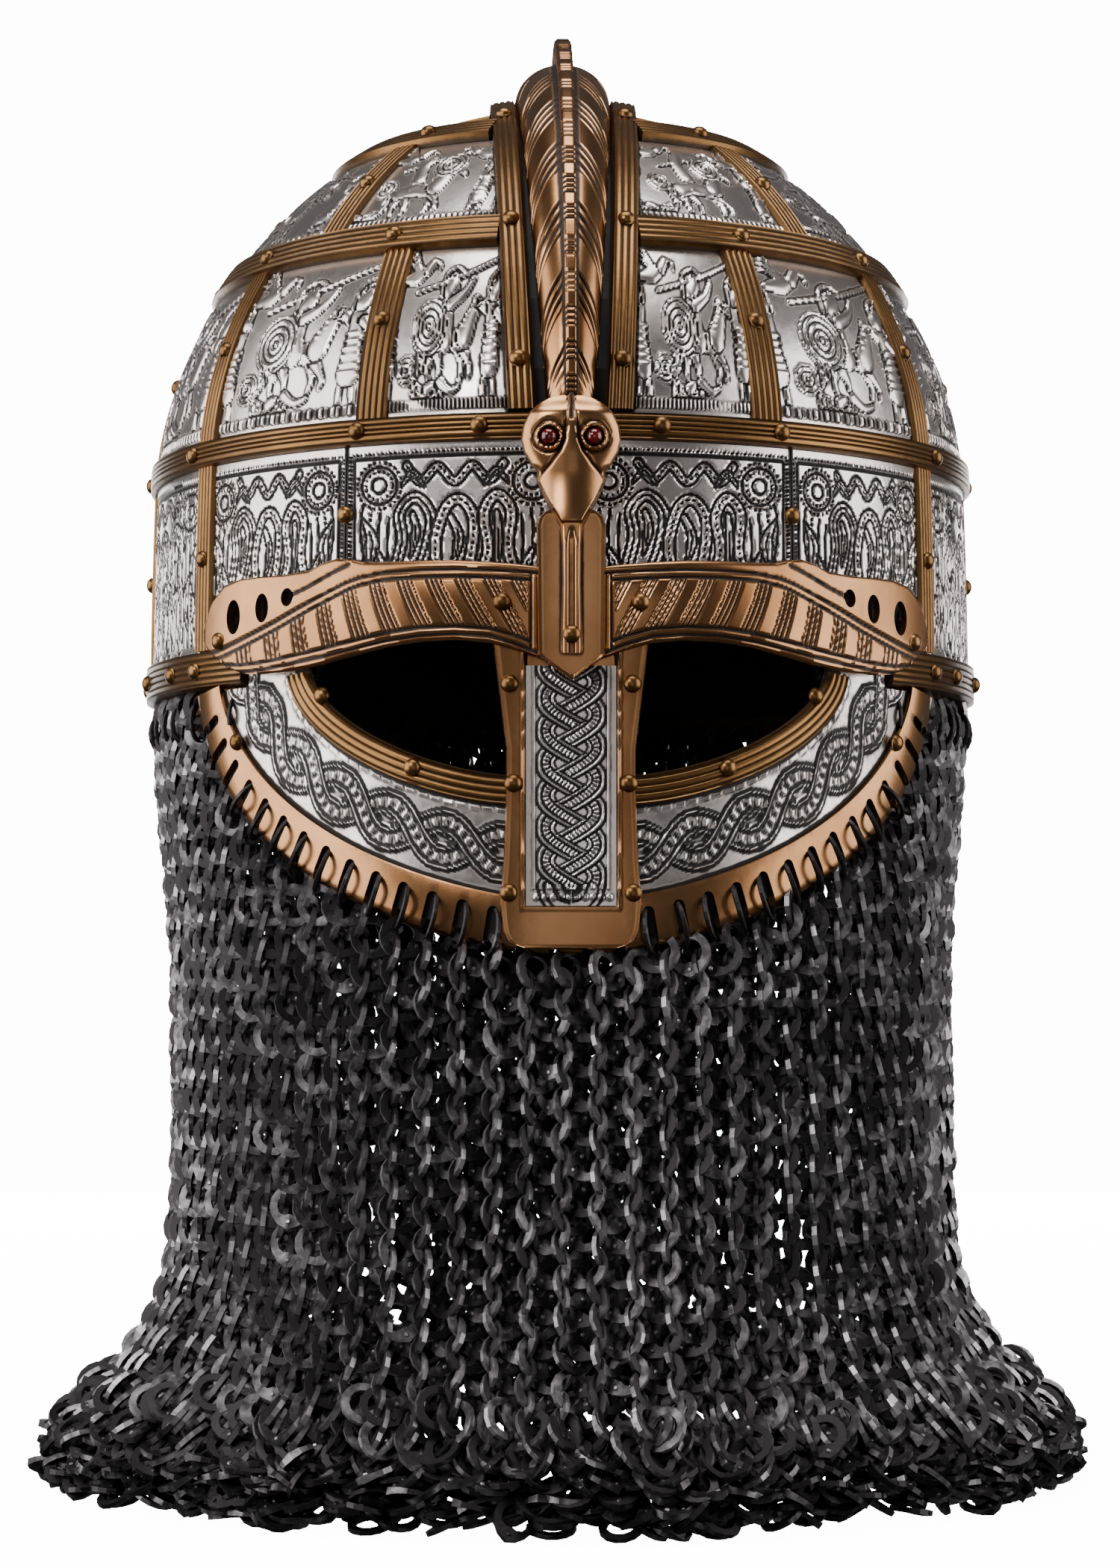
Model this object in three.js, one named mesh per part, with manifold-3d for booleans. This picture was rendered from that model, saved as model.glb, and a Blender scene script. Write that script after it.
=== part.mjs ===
// A ridge helmet of riveted hoops and pressed foils, with a spectacle guard and a mail curtain.
// Lengths are millimetres. The face looks along -Y, and heights are counted from the rim of the skull
// until the last lines, which bring the crown of the head to the origin.
import * as THREE from "three";
import { mergeVertices } from "three/addons/utils/BufferGeometryUtils.js";
import Module from "manifold-3d";

const wasm = await Module();
wasm.setup();

// Skull bowl
const skullWidth = 209.6;
const skullLength = 237.2;
const skullHeight = 155.8;
const skullWall = 1.6;
const uprightHeight = 57; // the part of the skull below the dome
const domeFullness = 1.745; // 2 would be an elliptical dome
const domeTaper = 0.01; // share that the upright part draws in by the foot of the dome

// Layers over the skull
const fit = 0.3;
const foilSeat = 0.5;
const foilThickness = 0.5;
const stripThickness = 1;
const bandThickness = 2.1; // rim band and crest bands, which lie on the foils
const hoopThickness = 0.9; // hoops that pass over the strips

// Hoops and strips
const bandWidth = 8.3;
const rimBandWidth = 9;
const browBandRise = 1.1; // centre above the foot of the dome
const middleBandPlace = 0.504; // shares of the dome's height
const upperBandPlace = 0.828;
const rimBandEnd = 47; // degrees from the nose
const stripWidth = 8;
const browTurn = 26.5; // degrees from the nose to the middle of each strip, mirrored to the rear
const cheekTurn = 56.7;
const upperTurn = 42;
const seamTurn = 30; // plain seam between the two foils over each eyebrow
const crestBandWidth = 6;
const crestBandFoot = 11; // centre line from the helmet's middle, at the brow
const crestBandCrown = 15.2;

// Crest and comb
const crestCrownHalf = 11.6;
const crestFootHalf = 5.2;
const crestHeight = 11.2;
const combWidth = 3.4;
const combFootWidth = 1.8;
const combHeight = 6.6;
const combFootHeight = 1.6;

// Eyes, eyebrows and guard, measured along the bent sheet from the nose line
const eyeInner = 14.7;
const eyeLength = 54.3;
const eyeLevel = 0.8;
const eyeDrop = 25;
const eyeRise = 9.2;
const eyeFullness = 1.55;
const eyeRimWidth = 6.5;
const eyeRimThickness = 1;
const guardHalf = 113;
const guardDrop = 65;
const guardFullness = 1.68;
const guardThickness = 1;
const guardTop = 8.4;
const guardStart = 2; // the guard's free edge starts this far below the rim
const channelWidth = 11.5;
const channelThickness = 0.9;
const foldRod = 1.1; // the rod in the fold, from the guard's edge inward
const slotPitch = 9.1;
const slotWidth = 3.2;
const slotEnd = 8.6; // from the guard's edge inward
const eyebrowInner = 6;
const eyebrowOuter = 86.4;
const eyebrowHeight = 27.8;
const eyebrowThickness = 1.5;
const eyebrowBulge = 1.6;

// Nose
const nasalTop = 9;
const nasalDrop = 64.5;
const nasalHalf = 15.4;
const nasalRound = 2.6; // rise of its foot's corners
const nasalThickness = 1.2;
const panelHalf = 10.6;
const panelTop = 1;
const panelDrop = 54.3;
const panelThickness = 0.6;
const nosePlateHalf = 8.3;
const nosePlateTop = 35.3;
const nosePlateFoot = -1.5;
const nosePlateThickness = 1.3;
const headHalf = 10.7;
const headTop = 63.4;
const snoutFoot = 4.2;
const headThickness = 6.4;
const garnetRadius = 1.9;
const garnetPlace = 5.1; // from the middle of the head
const garnetLevel = 54.3;

// Mail
const railHeight = 12;
const railDrop = 8;
const railThickness = 1.2;
const railEnd = 60; // degrees from the nose
const mailDrop = 199.5; // rim to hem
const mailThickness = 5;
const mailHang = 1.6; // the sheet hangs this far below the guard's fold
const mailFrontOut = 1.2; // middle of the sheet outside the skull's line, at the front
const mailSideIn = 6.5; // and inside it at the sides
const hemSideSpread = 31;
const hemFrontSpread = 15;
const hemRearSpread = 26;
const foldDepth = 1.6;
const hemWave = 3.5;

const halfWidth = skullWidth / 2;
const halfLength = skullLength / 2;
const domeHeight = skullHeight - uprightHeight;
const domeHalfWidth = halfWidth * (1 - domeTaper);
const domeHalfLength = halfLength * (1 - domeTaper);
const headRoom = skullHeight - skullWall;
const domeArc = (Math.PI / 4) * (domeHeight + halfWidth);
const faceRadius = (halfWidth + halfLength) / 2;
const bandSeat = foilSeat + foilThickness + fit;
const bandTop = bandSeat + bandThickness;
const hoopSeat = bandSeat + stripThickness + fit;
const layersTop = Math.max(bandTop, hoopSeat + hoopThickness);
const turnStep = 6.5; // degrees between the corners of a bent sheet
const climbStep = 13;

const mix = (a, b, share) => a + (b - a) * share;
const clamp = (x, low, high) => Math.min(Math.max(x, low), high);
const radians = THREE.MathUtils.degToRad;
const degrees = THREE.MathUtils.radToDeg;

// Value of a named column at a place along a table, between its rows in straight lines.
function along(table, key, place, column) {
  const next = table.findIndex((row) => row[key] >= place);
  if (next === 0) return table[0][column];
  if (next < 0) return table.at(-1)[column];
  const a = table[next - 1];
  const b = table[next];
  return mix(a[column], b[column], (place - a[key]) / (b[key] - a[key]));
}

// Share of the rim's outline that the skull has at a height.
function skullShare(height) {
  const drawn = 1 - domeTaper * clamp(height / uprightHeight, 0, 1) ** 2;
  const rise = clamp((height - uprightHeight) / domeHeight, 0, 1);
  return drawn * Math.sqrt(1 - rise ** domeFullness);
}

function offsetFrom(point, out) {
  const rise = clamp((point.z - uprightHeight) / domeHeight, 0, 1);
  const lean = (domeFullness * rise ** (domeFullness - 1)) / domeHeight;
  const x = (2 * point.x) / domeHalfWidth ** 2;
  const y = (2 * point.y) / domeHalfLength ** 2;
  return point.addScaledVector(new THREE.Vector3(x, y, lean).normalize(), out);
}

// Point on the skull: turn in degrees from the nose towards +X, height over the rim, distance out of it.
function onSkull(turn, height, out) {
  const share = skullShare(height);
  const x = halfWidth * share * Math.sin(radians(turn));
  const y = -halfLength * share * Math.cos(radians(turn));
  return offsetFrom(new THREE.Vector3(x, y, height), out);
}

// Point on the dome along a path from brow (0 degrees) over the crown (90) to nape (180), beside the middle.
function overDome(side, angle, out) {
  const room = 1 - (side / domeHalfWidth) ** 2;
  const y = -domeHalfLength * Math.sqrt(room) * Math.cos(radians(angle));
  const rise = (room * Math.sin(radians(angle)) ** 2) ** (1 / domeFullness);
  return offsetFrom(new THREE.Vector3(side, y, uprightHeight + domeHeight * rise), out);
}

const onFace = (across, height, out) => onSkull(degrees(across / faceRadius), height, out);
const angleAt = (height) =>
  degrees(Math.asin(clamp((height - uprightHeight) / domeHeight, 0, 1) ** (domeFullness / 2)));
const crestBandLine = (angle) => mix(crestBandFoot, crestBandCrown, Math.sin(radians(angle)));

// Climb counts a meridian's length, so that steps along it are even up to the crown.
const climbOf = (height) =>
  height <= uprightHeight ? height : uprightHeight + (domeArc * angleAt(height)) / 90;
function heightOf(climb) {
  if (climb <= uprightHeight) return climb;
  const angle = ((climb - uprightHeight) / domeArc) * 90;
  return uprightHeight + domeHeight * Math.sin(radians(angle)) ** (2 / domeFullness);
}

// Heights of a sheet's corners: its ends, the foot of the dome, and even steps up the dome.
function levels(low, high) {
  const foot = Math.max(low, Math.min(uprightHeight, high));
  const heights = foot > low ? [low, foot] : [low];
  const steps = Math.ceil((climbOf(high) - climbOf(foot)) / climbStep - 0.2);
  for (let i = 1; i <= steps; i++) heights.push(heightOf(mix(climbOf(foot), climbOf(high), i / steps)));
  return heights;
}

// Degrees of turn that a length across the sheet takes at a height.
function turnOf(length, turn, height) {
  const x = halfWidth * Math.cos(radians(turn));
  const y = halfLength * Math.sin(radians(turn));
  return degrees(length / (skullShare(height) * Math.hypot(x, y)));
}

// Height that a length up the sheet takes.
function riseOf(length, height) {
  const low = onSkull(90, height - 1, 0);
  return (length * 2) / low.distanceTo(onSkull(90, height + 1, 0));
}

function carried(geometry, place) {
  const corners = geometry.getAttribute("position");
  for (let i = 0; i < corners.count; i++) {
    const at = place(corners.getX(i), corners.getY(i), corners.getZ(i));
    corners.setXYZ(i, at.x, at.y, at.z);
  }
  return geometry;
}

// Place on a table that has one row for each step of a block's side.
function rowAt(table, key, share) {
  const step = Math.round(share * (table.length - 1));
  return table[step][key];
}

// A block whose corners go where a function of three shares, 0 to 1, puts them.
function bentBlock(cells, place) {
  const block = new THREE.BoxGeometry(1, 1, 1, ...cells.map((n) => Math.max(1, Math.round(n))));
  return solidOf(carried(block, (x, y, z) => place(x + 0.5, y + 0.5, z + 0.5)));
}

// An outline of [x, y] corners drawn along a path: place takes the corner and the share of the path.
function drawnAlong(outline, steps, place) {
  const shape = new THREE.Shape(outline.map(([x, y]) => new THREE.Vector2(x, y)));
  const settings = { depth: 1, steps: Math.round(steps), bevelEnabled: false };
  return solidOf(carried(new THREE.ExtrudeGeometry(shape, settings), place));
}

function solidOf(geometry) {
  geometry.deleteAttribute("normal");
  geometry.deleteAttribute("uv");
  const merged = mergeVertices(geometry, 1e-3);
  const corners = merged.getAttribute("position").array;
  const index = [...merged.index.array];
  const faces = [];
  for (let i = 0; i < index.length; i += 3) {
    const [a, b, c] = index.slice(i, i + 3);
    if (a !== b && b !== c && c !== a) faces.push([a, b, c]);
  }
  let volume = 0;
  const corner = (i) => new THREE.Vector3().fromArray(corners, i * 3);
  for (const [a, b, c] of faces) volume += corner(a).dot(corner(b).cross(corner(c)));
  const outward = volume > 0 ? faces : faces.map(([a, b, c]) => [a, c, b]);
  const triVerts = new Uint32Array(outward.flat());
  return new wasm.Manifold(new wasm.Mesh({ numProp: 3, vertProperties: corners, triVerts }));
}

function geometryOf(solid) {
  const mesh = solid.getMesh();
  const corners = new Float32Array(mesh.numVert * 3);
  for (let i = 0; i < mesh.numVert; i++) {
    corners.set(mesh.vertProperties.subarray(i * mesh.numProp, i * mesh.numProp + 3), i * 3);
  }
  const geometry = new THREE.BufferGeometry();
  geometry.setAttribute("position", new THREE.BufferAttribute(corners, 3));
  geometry.setIndex(new THREE.BufferAttribute(mesh.triVerts, 1));
  return geometry;
}

const mirrored = (solid) => solid.mirror([1, 0, 0]);

const metals = {
  iron: new THREE.MeshStandardMaterial({ color: 0x1c1a19, roughness: 0.55, metalness: 0.9 }),
  foil: new THREE.MeshStandardMaterial({ color: 0xc9c4be, roughness: 0.3, metalness: 1 }),
  brass: new THREE.MeshStandardMaterial({ color: 0xb08a55, roughness: 0.35, metalness: 1 }),
  bronze: new THREE.MeshStandardMaterial({ color: 0xb9845a, roughness: 0.3, metalness: 1 }),
  garnet: new THREE.MeshStandardMaterial({ color: 0x6b0710, roughness: 0.1, metalness: 0 }),
  mail: new THREE.MeshStandardMaterial({ color: 0x2b2a2b, roughness: 0.5, metalness: 0.9 }),
};

const helmet = new THREE.Group();

function add(name, solid, metal) {
  const mesh = new THREE.Mesh(geometryOf(solid), metals[metal]);
  mesh.name = name;
  helmet.add(mesh);
}

// Both sides of a piece that is made for +X.
function addPair(name, solid, metal) {
  add(name + "_right", solid, metal);
  add(name + "_left", mirrored(solid), metal);
}

// Eye openings: the lower and upper edges over a length along the sheet.
const eyeEdge = (share, reach, fullness) => reach * (1 - share ** fullness) ** (1 / fullness);
const eyeLow = (share) => eyeLevel - eyeEdge(share, eyeDrop, eyeFullness);
const eyeHigh = (share) => eyeLevel + eyeEdge(share, eyeRise, 2);
const eyeSteps = 10;
const eyeShare = (step) => Math.sin((Math.PI / 2) * step * 0.97);

const eyeCut = bentBlock([eyeSteps, 1, 1], (a, b, c) => {
  const share = eyeShare(a);
  const height = mix(eyeLow(share), eyeHigh(share), b);
  return onFace(eyeInner + eyeLength * share, height, mix(-3 * skullWall, bandTop, c));
});

function skullBowl() {
  const rows = (domeRows) => {
    const heights = [0, uprightHeight];
    for (let i = 1; i < domeRows; i++) heights.push(heightOf(uprightHeight + (domeArc * i) / domeRows));
    return heights.map((height) => new THREE.Vector2(halfWidth * skullShare(height), height));
  };
  const wallShare = (halfWidth - skullWall) / halfWidth;
  const inner = rows(6).map((p) => new THREE.Vector2(p.x * wallShare, (p.y * headRoom) / skullHeight));
  const onAxis = (height) => new THREE.Vector2(0, height);
  const profile = [onAxis(headRoom), ...inner.reverse(), ...rows(8), onAxis(skullHeight)];
  const bowl = new THREE.LatheGeometry(profile, 48).rotateX(Math.PI / 2);
  bowl.scale(1, halfLength / halfWidth, 1);
  return solidOf(bowl).subtract(eyeCut).subtract(mirrored(eyeCut));
}
add("skull_bowl", skullBowl(), "iron");

// Sheet between two turns and two heights; a turn may be a function of the height.
function sheet(from, to, low, high, seat, thickness) {
  const start = typeof from === "function" ? from : () => from;
  const end = typeof to === "function" ? to : () => to;
  const heights = levels(low, high);
  const turns = ((end(low) - start(low)) * skullShare(low)) / turnStep;
  return bentBlock([Math.ceil(turns), heights.length - 1, 1], (a, b, c) => {
    const height = heights[Math.round(b * (heights.length - 1))];
    return onSkull(mix(start(height), end(height), a), height, seat + thickness * c);
  });
}

// Turn of a line that runs beside the crest at a distance from its band's centre line, on the +X side.
function besideCrest(distance, height) {
  const side = crestBandLine(angleAt(height)) + distance;
  return degrees(Math.asin(clamp(side / (halfWidth * skullShare(height)), -1, 1)));
}
const crestEdge = crestBandWidth / 2 + fit;
const frontInner = (height) => besideCrest(crestEdge, height);
const rearInner = (height) => 180 - besideCrest(crestEdge, height);

// Heights of the hoops' edges
const hoop = (centre, width) => ({
  low: centre - riseOf(width / 2, centre),
  high: centre + riseOf(width / 2, centre),
});
const browHoop = hoop(uprightHeight + browBandRise, bandWidth);
const middleHoop = hoop(uprightHeight + domeHeight * middleBandPlace, bandWidth);
const upperHoop = hoop(uprightHeight + domeHeight * upperBandPlace, bandWidth);

// Tiers of foil panels: each foil runs from under one strip to under the next.
const tuck = 1.2; // length that a foil reaches under a band
const seam = fit / 2; // half the gap between two foils, in millimetres
function foil(name, from, to, low, high) {
  const start = typeof from === "function" ? from : (height) => from + turnOf(seam, from, height);
  const end = typeof to === "function" ? to : (height) => to - turnOf(seam, to, height);
  return [name, sheet(start, end, low, high, foilSeat, foilThickness)];
}
const rimTier = [rimBandWidth - tuck, browHoop.low + tuck];
const middleTier = [browHoop.high - tuck, middleHoop.low + tuck];
const upperTier = [middleHoop.high - tuck, upperHoop.low + tuck];
const panels = [
  foil("rim_foil_nose", 0, seamTurn, guardTop + fit, rimTier[1]),
  foil("rim_foil_brow", seamTurn, cheekTurn, guardTop + fit, rimTier[1]),
  foil("rim_foil_side", cheekTurn, 90, ...rimTier),
  foil("middle_foil_front", frontInner, browTurn, ...middleTier),
  foil("middle_foil_brow", browTurn, cheekTurn, ...middleTier),
  foil("middle_foil_side", cheekTurn, 90, ...middleTier),
  foil("middle_foil_rear", 90, rearInner, ...middleTier),
  foil("upper_foil_front", frontInner, upperTurn, ...upperTier),
  foil("upper_foil_side", upperTurn, rearInner, ...upperTier),
];
for (const [name, solid] of panels) addPair(name, solid, "foil");
add("rim_foil_rear", foil("", 90, 270, ...rimTier)[1], "foil");

// Upright strips, which the hoops pass over.
function strip(turn, low, high) {
  const edge = (side) => (height) => turn + side * turnOf(stripWidth / 2, turn, height);
  return sheet(edge(-1), edge(1), low, high, bandSeat, stripThickness);
}
const stripInset = 1.5; // a strip ends this far inside a hoop's far edge
const crownSide = (crestBandCrown + crestEdge + fit) / domeHalfWidth;
const crownEnd = uprightHeight + domeHeight * (1 - crownSide ** 2) ** (1 / domeFullness);
const stripFoot = rimBandWidth + fit;
const browFoot = browHoop.low + stripInset;
const upperFoot = middleHoop.low + stripInset;
const middleEnd = middleHoop.high - stripInset;
const upperEnd = upperHoop.high - stripInset;
const stripRows = [
  { name: "cheek_strip", turn: cheekTurn, low: stripFoot, high: middleEnd },
  { name: "side_strip", turn: 90, low: stripFoot, high: crownEnd },
  { name: "nape_strip", turn: 180 - cheekTurn, low: stripFoot, high: middleEnd },
  { name: "brow_strip", turn: browTurn, low: browFoot, high: middleEnd },
  { name: "rear_strip", turn: 180 - browTurn, low: browFoot, high: middleEnd },
  { name: "upper_strip_front", turn: upperTurn, low: upperFoot, high: upperEnd },
  { name: "upper_strip_rear", turn: 180 - upperTurn, low: upperFoot, high: upperEnd },
];
for (const row of stripRows) addPair(row.name, strip(row.turn, row.low, row.high), "brass");

const hoopBand = (from, to, edges) => sheet(from, to, edges.low, edges.high, hoopSeat, hoopThickness);
addPair("middle_band", hoopBand(frontInner, rearInner, middleHoop), "brass");
addPair("upper_band", hoopBand(frontInner, rearInner, upperHoop), "brass");

// The lower hoops are drawn round the skull as rings of a small section.
function ring({ low, high }, from, to, seat, thickness) {
  const outline = [[low, seat], [high, seat], [high, seat + thickness], [low, seat + thickness]];
  const steps = (to - from) / turnStep;
  return drawnAlong(outline, steps, (height, out, share) => onSkull(mix(from, to, share), height, out));
}
const browHalf = ring(browHoop, 0, 180, hoopSeat, hoopThickness);
add("brow_band", browHalf.add(mirrored(browHalf)), "brass");
const rimEdges = { low: 0, high: rimBandWidth };
add("rim_band", ring(rimEdges, rimBandEnd, 360 - rimBandEnd, bandSeat, bandThickness), "brass");

// Crest: a half round tube over the crown, with a comb on it and a reeded strip at each side.
const crestStart = angleAt(browHoop.high + fit) + 1;
const crestSteps = 22;
const crestAngle = (share) => mix(crestStart, 180 - crestStart, share);
const crestSwell = (angle) => Math.sin(radians(angle)) ** 1.1;
const crestHalf = (angle) => mix(crestFootHalf, crestCrownHalf, crestSwell(angle));
const crestTop = (angle) => foilSeat + (crestHalf(angle) * crestHeight) / crestCrownHalf;
const halfRound = [];
for (let i = 0; i <= 6; i++) halfRound.push([Math.cos((Math.PI * i) / 6), Math.sin((Math.PI * i) / 6)]);
halfRound.push([-0.5, 0], [0, 0], [0.5, 0]);
const crestTube = drawnAlong(halfRound, crestSteps, (x, y, share) => {
  const angle = crestAngle(share);
  return overDome(x * crestHalf(angle), angle, mix(foilSeat, crestTop(angle), y));
});
add("crest", crestTube, "bronze");

const combSwell = (angle) => Math.sin(radians(angle)) ** 0.8;
const comb = bentBlock([1, crestSteps, 1], (a, b, c) => {
  const angle = crestAngle(b);
  const half = mix(combFootWidth, combWidth, combSwell(angle)) / 2;
  const low = crestTop(angle) + fit;
  const high = low + mix(combFootHeight, combHeight, combSwell(angle));
  return overDome(mix(-half, half, a), angle, mix(low, high, c));
});
add("comb", comb, "bronze");

const crestBand = bentBlock([1, crestSteps, 1], (a, b, c) => {
  const angle = crestAngle(b);
  const side = crestBandLine(angle) + mix(-0.5, 0.5, a) * crestBandWidth;
  return overDome(side, angle, mix(bandSeat, bandTop, c));
});
addPair("crest_band", crestBand, "brass");

// Guard: a sheet that carries the skull's front straight down below the eyes. Its outer edge is one curve,
// counted by its length from the +X end, which stops below the rim band.
const guardStartAngle = Math.asin((guardStart / guardDrop) ** (guardFullness / 2));
const guardCorners = [];
for (let i = 0; i <= 60; i++) {
  const angle = mix(guardStartAngle, Math.PI - guardStartAngle, i / 60);
  const reach = Math.sign(Math.cos(angle)) * Math.abs(Math.cos(angle)) ** (2 / guardFullness);
  const drop = Math.sin(angle) ** (2 / guardFullness);
  guardCorners.push(new THREE.Vector2(guardHalf * reach, -guardDrop * drop));
}
const guardCurve = new THREE.SplineCurve(guardCorners);
const guardLength = guardCurve.getLength();
const channelSteps = 2 * Math.round(guardLength / slotPitch / 2); // one slot in each but the first and last

// Place on the flat sheet, inward from the guard's edge at a share of the edge's length.
function besideGuardEdge(inward, share) {
  const at = guardCurve.getPointAt(clamp(share, 0, 1));
  const way = guardCurve.getTangentAt(clamp(share, 0, 1));
  return new THREE.Vector2(at.x + way.y * inward, at.y - way.x * inward);
}
function onGuardEdge(inward, out, share) {
  const at = besideGuardEdge(inward, share);
  return onFace(at.x, at.y, out);
}

const plateSeat = foilSeat;
const plateTop = plateSeat + guardThickness;
const plateInset = foldRod + 2 * fit; // from the fold of the channel to the sheet's own edge
const bandRoom = sheet(rimBandEnd - 0.6, 66, -0.4, rimBandWidth + 4, foilSeat - 1, bandThickness + 4);
function guardPlate() {
  const plate = bentBlock([channelSteps, 1, 1], (a, b, c) => {
    const edge = besideGuardEdge(plateInset, 1 - a);
    return onFace(edge.x, mix(edge.y, guardTop, b), mix(plateSeat, plateTop, c));
  });
  return plate.subtract(eyeCut).subtract(mirrored(eyeCut)).subtract(bandRoom).subtract(mirrored(bandRoom));
}
add("guard_plate", guardPlate(), "foil");

// Channel folded over the guard's edge and the rod that carries the mail, slotted for the mail's rings.
const leafIn = plateSeat - fit;
const leafOut = plateTop + fit;
const foldMiddle = (leafIn + leafOut) / 2;
const foldRound = 0.9;
const channelOutline = [
  [channelWidth, leafOut],
  [channelWidth, leafOut + channelThickness],
  [0, leafOut + channelThickness],
  [-foldRound, foldMiddle],
  [0, leafIn - channelThickness],
  [foldRod, leafIn - channelThickness],
  [foldRod, leafOut],
];
function guardChannel() {
  const folded = drawnAlong(channelOutline, channelSteps, onGuardEdge);
  let channel = folded.subtract(bandRoom).subtract(mirrored(bandRoom));
  for (let i = 1; i < channelSteps - 1; i++) {
    const place = (i + 0.5) / channelSteps;
    const half = slotWidth / 2 / guardLength;
    channel = channel.subtract(bentBlock([1, 1, 1], (a, b, c) => onGuardEdge(
      mix(foldRod, slotEnd, a),
      mix(leafIn - 2 * channelThickness, leafOut + 2 * channelThickness, b),
      place + mix(-half, half, c),
    )));
  }
  return channel;
}
add("guard_channel", guardChannel(), "bronze");

// Reeded rim below each eye, on the guard sheet.
const eyeRim = bentBlock([eyeSteps, 1, 1], (a, b, c) => {
  const share = eyeShare(a);
  const ahead = eyeShare(Math.min(a + 0.02, 1));
  const behind = eyeShare(Math.max(a - 0.02, 0));
  const way = new THREE.Vector2(eyeLength * (ahead - behind), eyeLow(ahead) - eyeLow(behind)).normalize();
  const down = b * eyeRimWidth;
  const across = eyeInner + eyeLength * share + way.y * down;
  return onFace(across, eyeLow(share) - way.x * down, leafOut + eyeRimThickness * c);
});
addPair("eye_rim", eyeRim.subtract(bandRoom), "brass");

// Nose bar: a waisted plate over the guard sheet, with a foil on it.
const nasalSeat = leafOut + Math.max(channelThickness, eyeRimThickness) + fit;
const nasalRows = [
  { down: 0, half: 1.22 },
  { down: 0.07, half: 1.18 },
  { down: 0.25, half: 1.07 },
  { down: 0.38, half: 1 },
  { down: 0.55, half: 1 },
  { down: 0.75, half: 1.04 },
  { down: 0.87, half: 1.1 },
  { down: 0.93, half: 1.08 },
  { down: 1, half: 1 },
];
const nasalFrame = bentBlock([4, nasalRows.length - 1, 1], (a, b, c) => {
  const half = nasalHalf * rowAt(nasalRows, "half", 1 - b);
  const across = mix(-half, half, a);
  const rise = b === 0 ? nasalRound * (across / nasalHalf) ** 2 : 0;
  const height = mix(nasalTop, -nasalDrop, rowAt(nasalRows, "down", 1 - b)) + rise;
  return onFace(across, height, nasalSeat + nasalThickness * c);
});
add("nasal_frame", nasalFrame, "bronze");
const nasalPanel = bentBlock([4, 1, 1], (a, b, c) => {
  const out = nasalSeat + nasalThickness + fit + panelThickness * c;
  return onFace(mix(-panelHalf, panelHalf, a), mix(-panelDrop, panelTop, b), out);
});
add("nasal_panel", nasalPanel, "foil");

// Eyebrows: pierced bars that swell forwards, lying over the ends of the rim band.
const browRows = [
  { place: 0, low: 0.09, high: 0.86 },
  { place: 0.13, low: 0.23, high: 0.91 },
  { place: 0.26, low: 0.27, high: 0.94 },
  { place: 0.4, low: 0.25, high: 0.94 },
  { place: 0.5, low: 0.19, high: 0.96 },
  { place: 0.575, low: 0.14, high: 1 },
  { place: 0.66, low: 0.09, high: 0.91 },
  { place: 0.8, low: 0.055, high: 0.895 },
  { place: 0.92, low: 0.1, high: 0.87 },
  { place: 0.97, low: 0.2, high: 0.76 },
  { place: 1, low: 0.36, high: 0.52 },
];
const browHoles = [
  { place: 0.895, level: 0.58, wide: 2.6, tall: 3.4 },
  { place: 0.82, level: 0.62, wide: 2, tall: 2.6 },
  { place: 0.755, level: 0.68, wide: 1.5, tall: 1.8 },
];
const browX = (place) => mix(eyebrowInner, eyebrowOuter, place);
const turnAcross = (x) => degrees(Math.asin(clamp(x / (halfWidth + bandTop), -1, 1)));
const browSeat = Math.max(layersTop, nasalSeat + nasalThickness) + fit;
function eyebrow() {
  const bar = bentBlock([browRows.length - 1, 2, 1], (a, b, c) => {
    const place = rowAt(browRows, "place", a);
    const height = eyebrowHeight * mix(rowAt(browRows, "low", a), rowAt(browRows, "high", a), b);
    const swell = eyebrowBulge * Math.sin(Math.PI * b) * Math.sin(Math.PI * clamp(place / 0.75, 0, 1));
    return onSkull(turnAcross(browX(place)), height, browSeat + swell + eyebrowThickness * c);
  });
  return browHoles.reduce((left, hole) => {
    const round = new THREE.CylinderGeometry(1, 1, 1, 8);
    return left.subtract(solidOf(carried(round, (x, y, z) => onSkull(
      turnAcross(browX(hole.place) + x * hole.wide),
      eyebrowHeight * hole.level + z * hole.tall,
      browSeat + 2 * eyebrowThickness * (y + 0.2),
    ))));
  }, bar);
}
addPair("eyebrow", eyebrow(), "bronze");

// Nose plate over the eyebrows' inner ends, and the beast's head whose snout lies down it.
const noseSeat = browSeat + eyebrowThickness + fit;
const noseRows = [
  { up: 0, half: 0.12 },
  { up: 0.12, half: 1 },
  { up: 0.9, half: 1 },
  { up: 0.97, half: 0.85 },
  { up: 1, half: 0.55 },
];
const nosePlate = bentBlock([2, noseRows.length - 1, 1], (a, b, c) => {
  const half = nosePlateHalf * rowAt(noseRows, "half", b);
  const height = mix(nosePlateFoot, nosePlateTop, rowAt(noseRows, "up", b));
  return onFace(mix(-half, half, a), height, noseSeat + nosePlateThickness * c);
});
add("nose_plate", nosePlate, "bronze");

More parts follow.
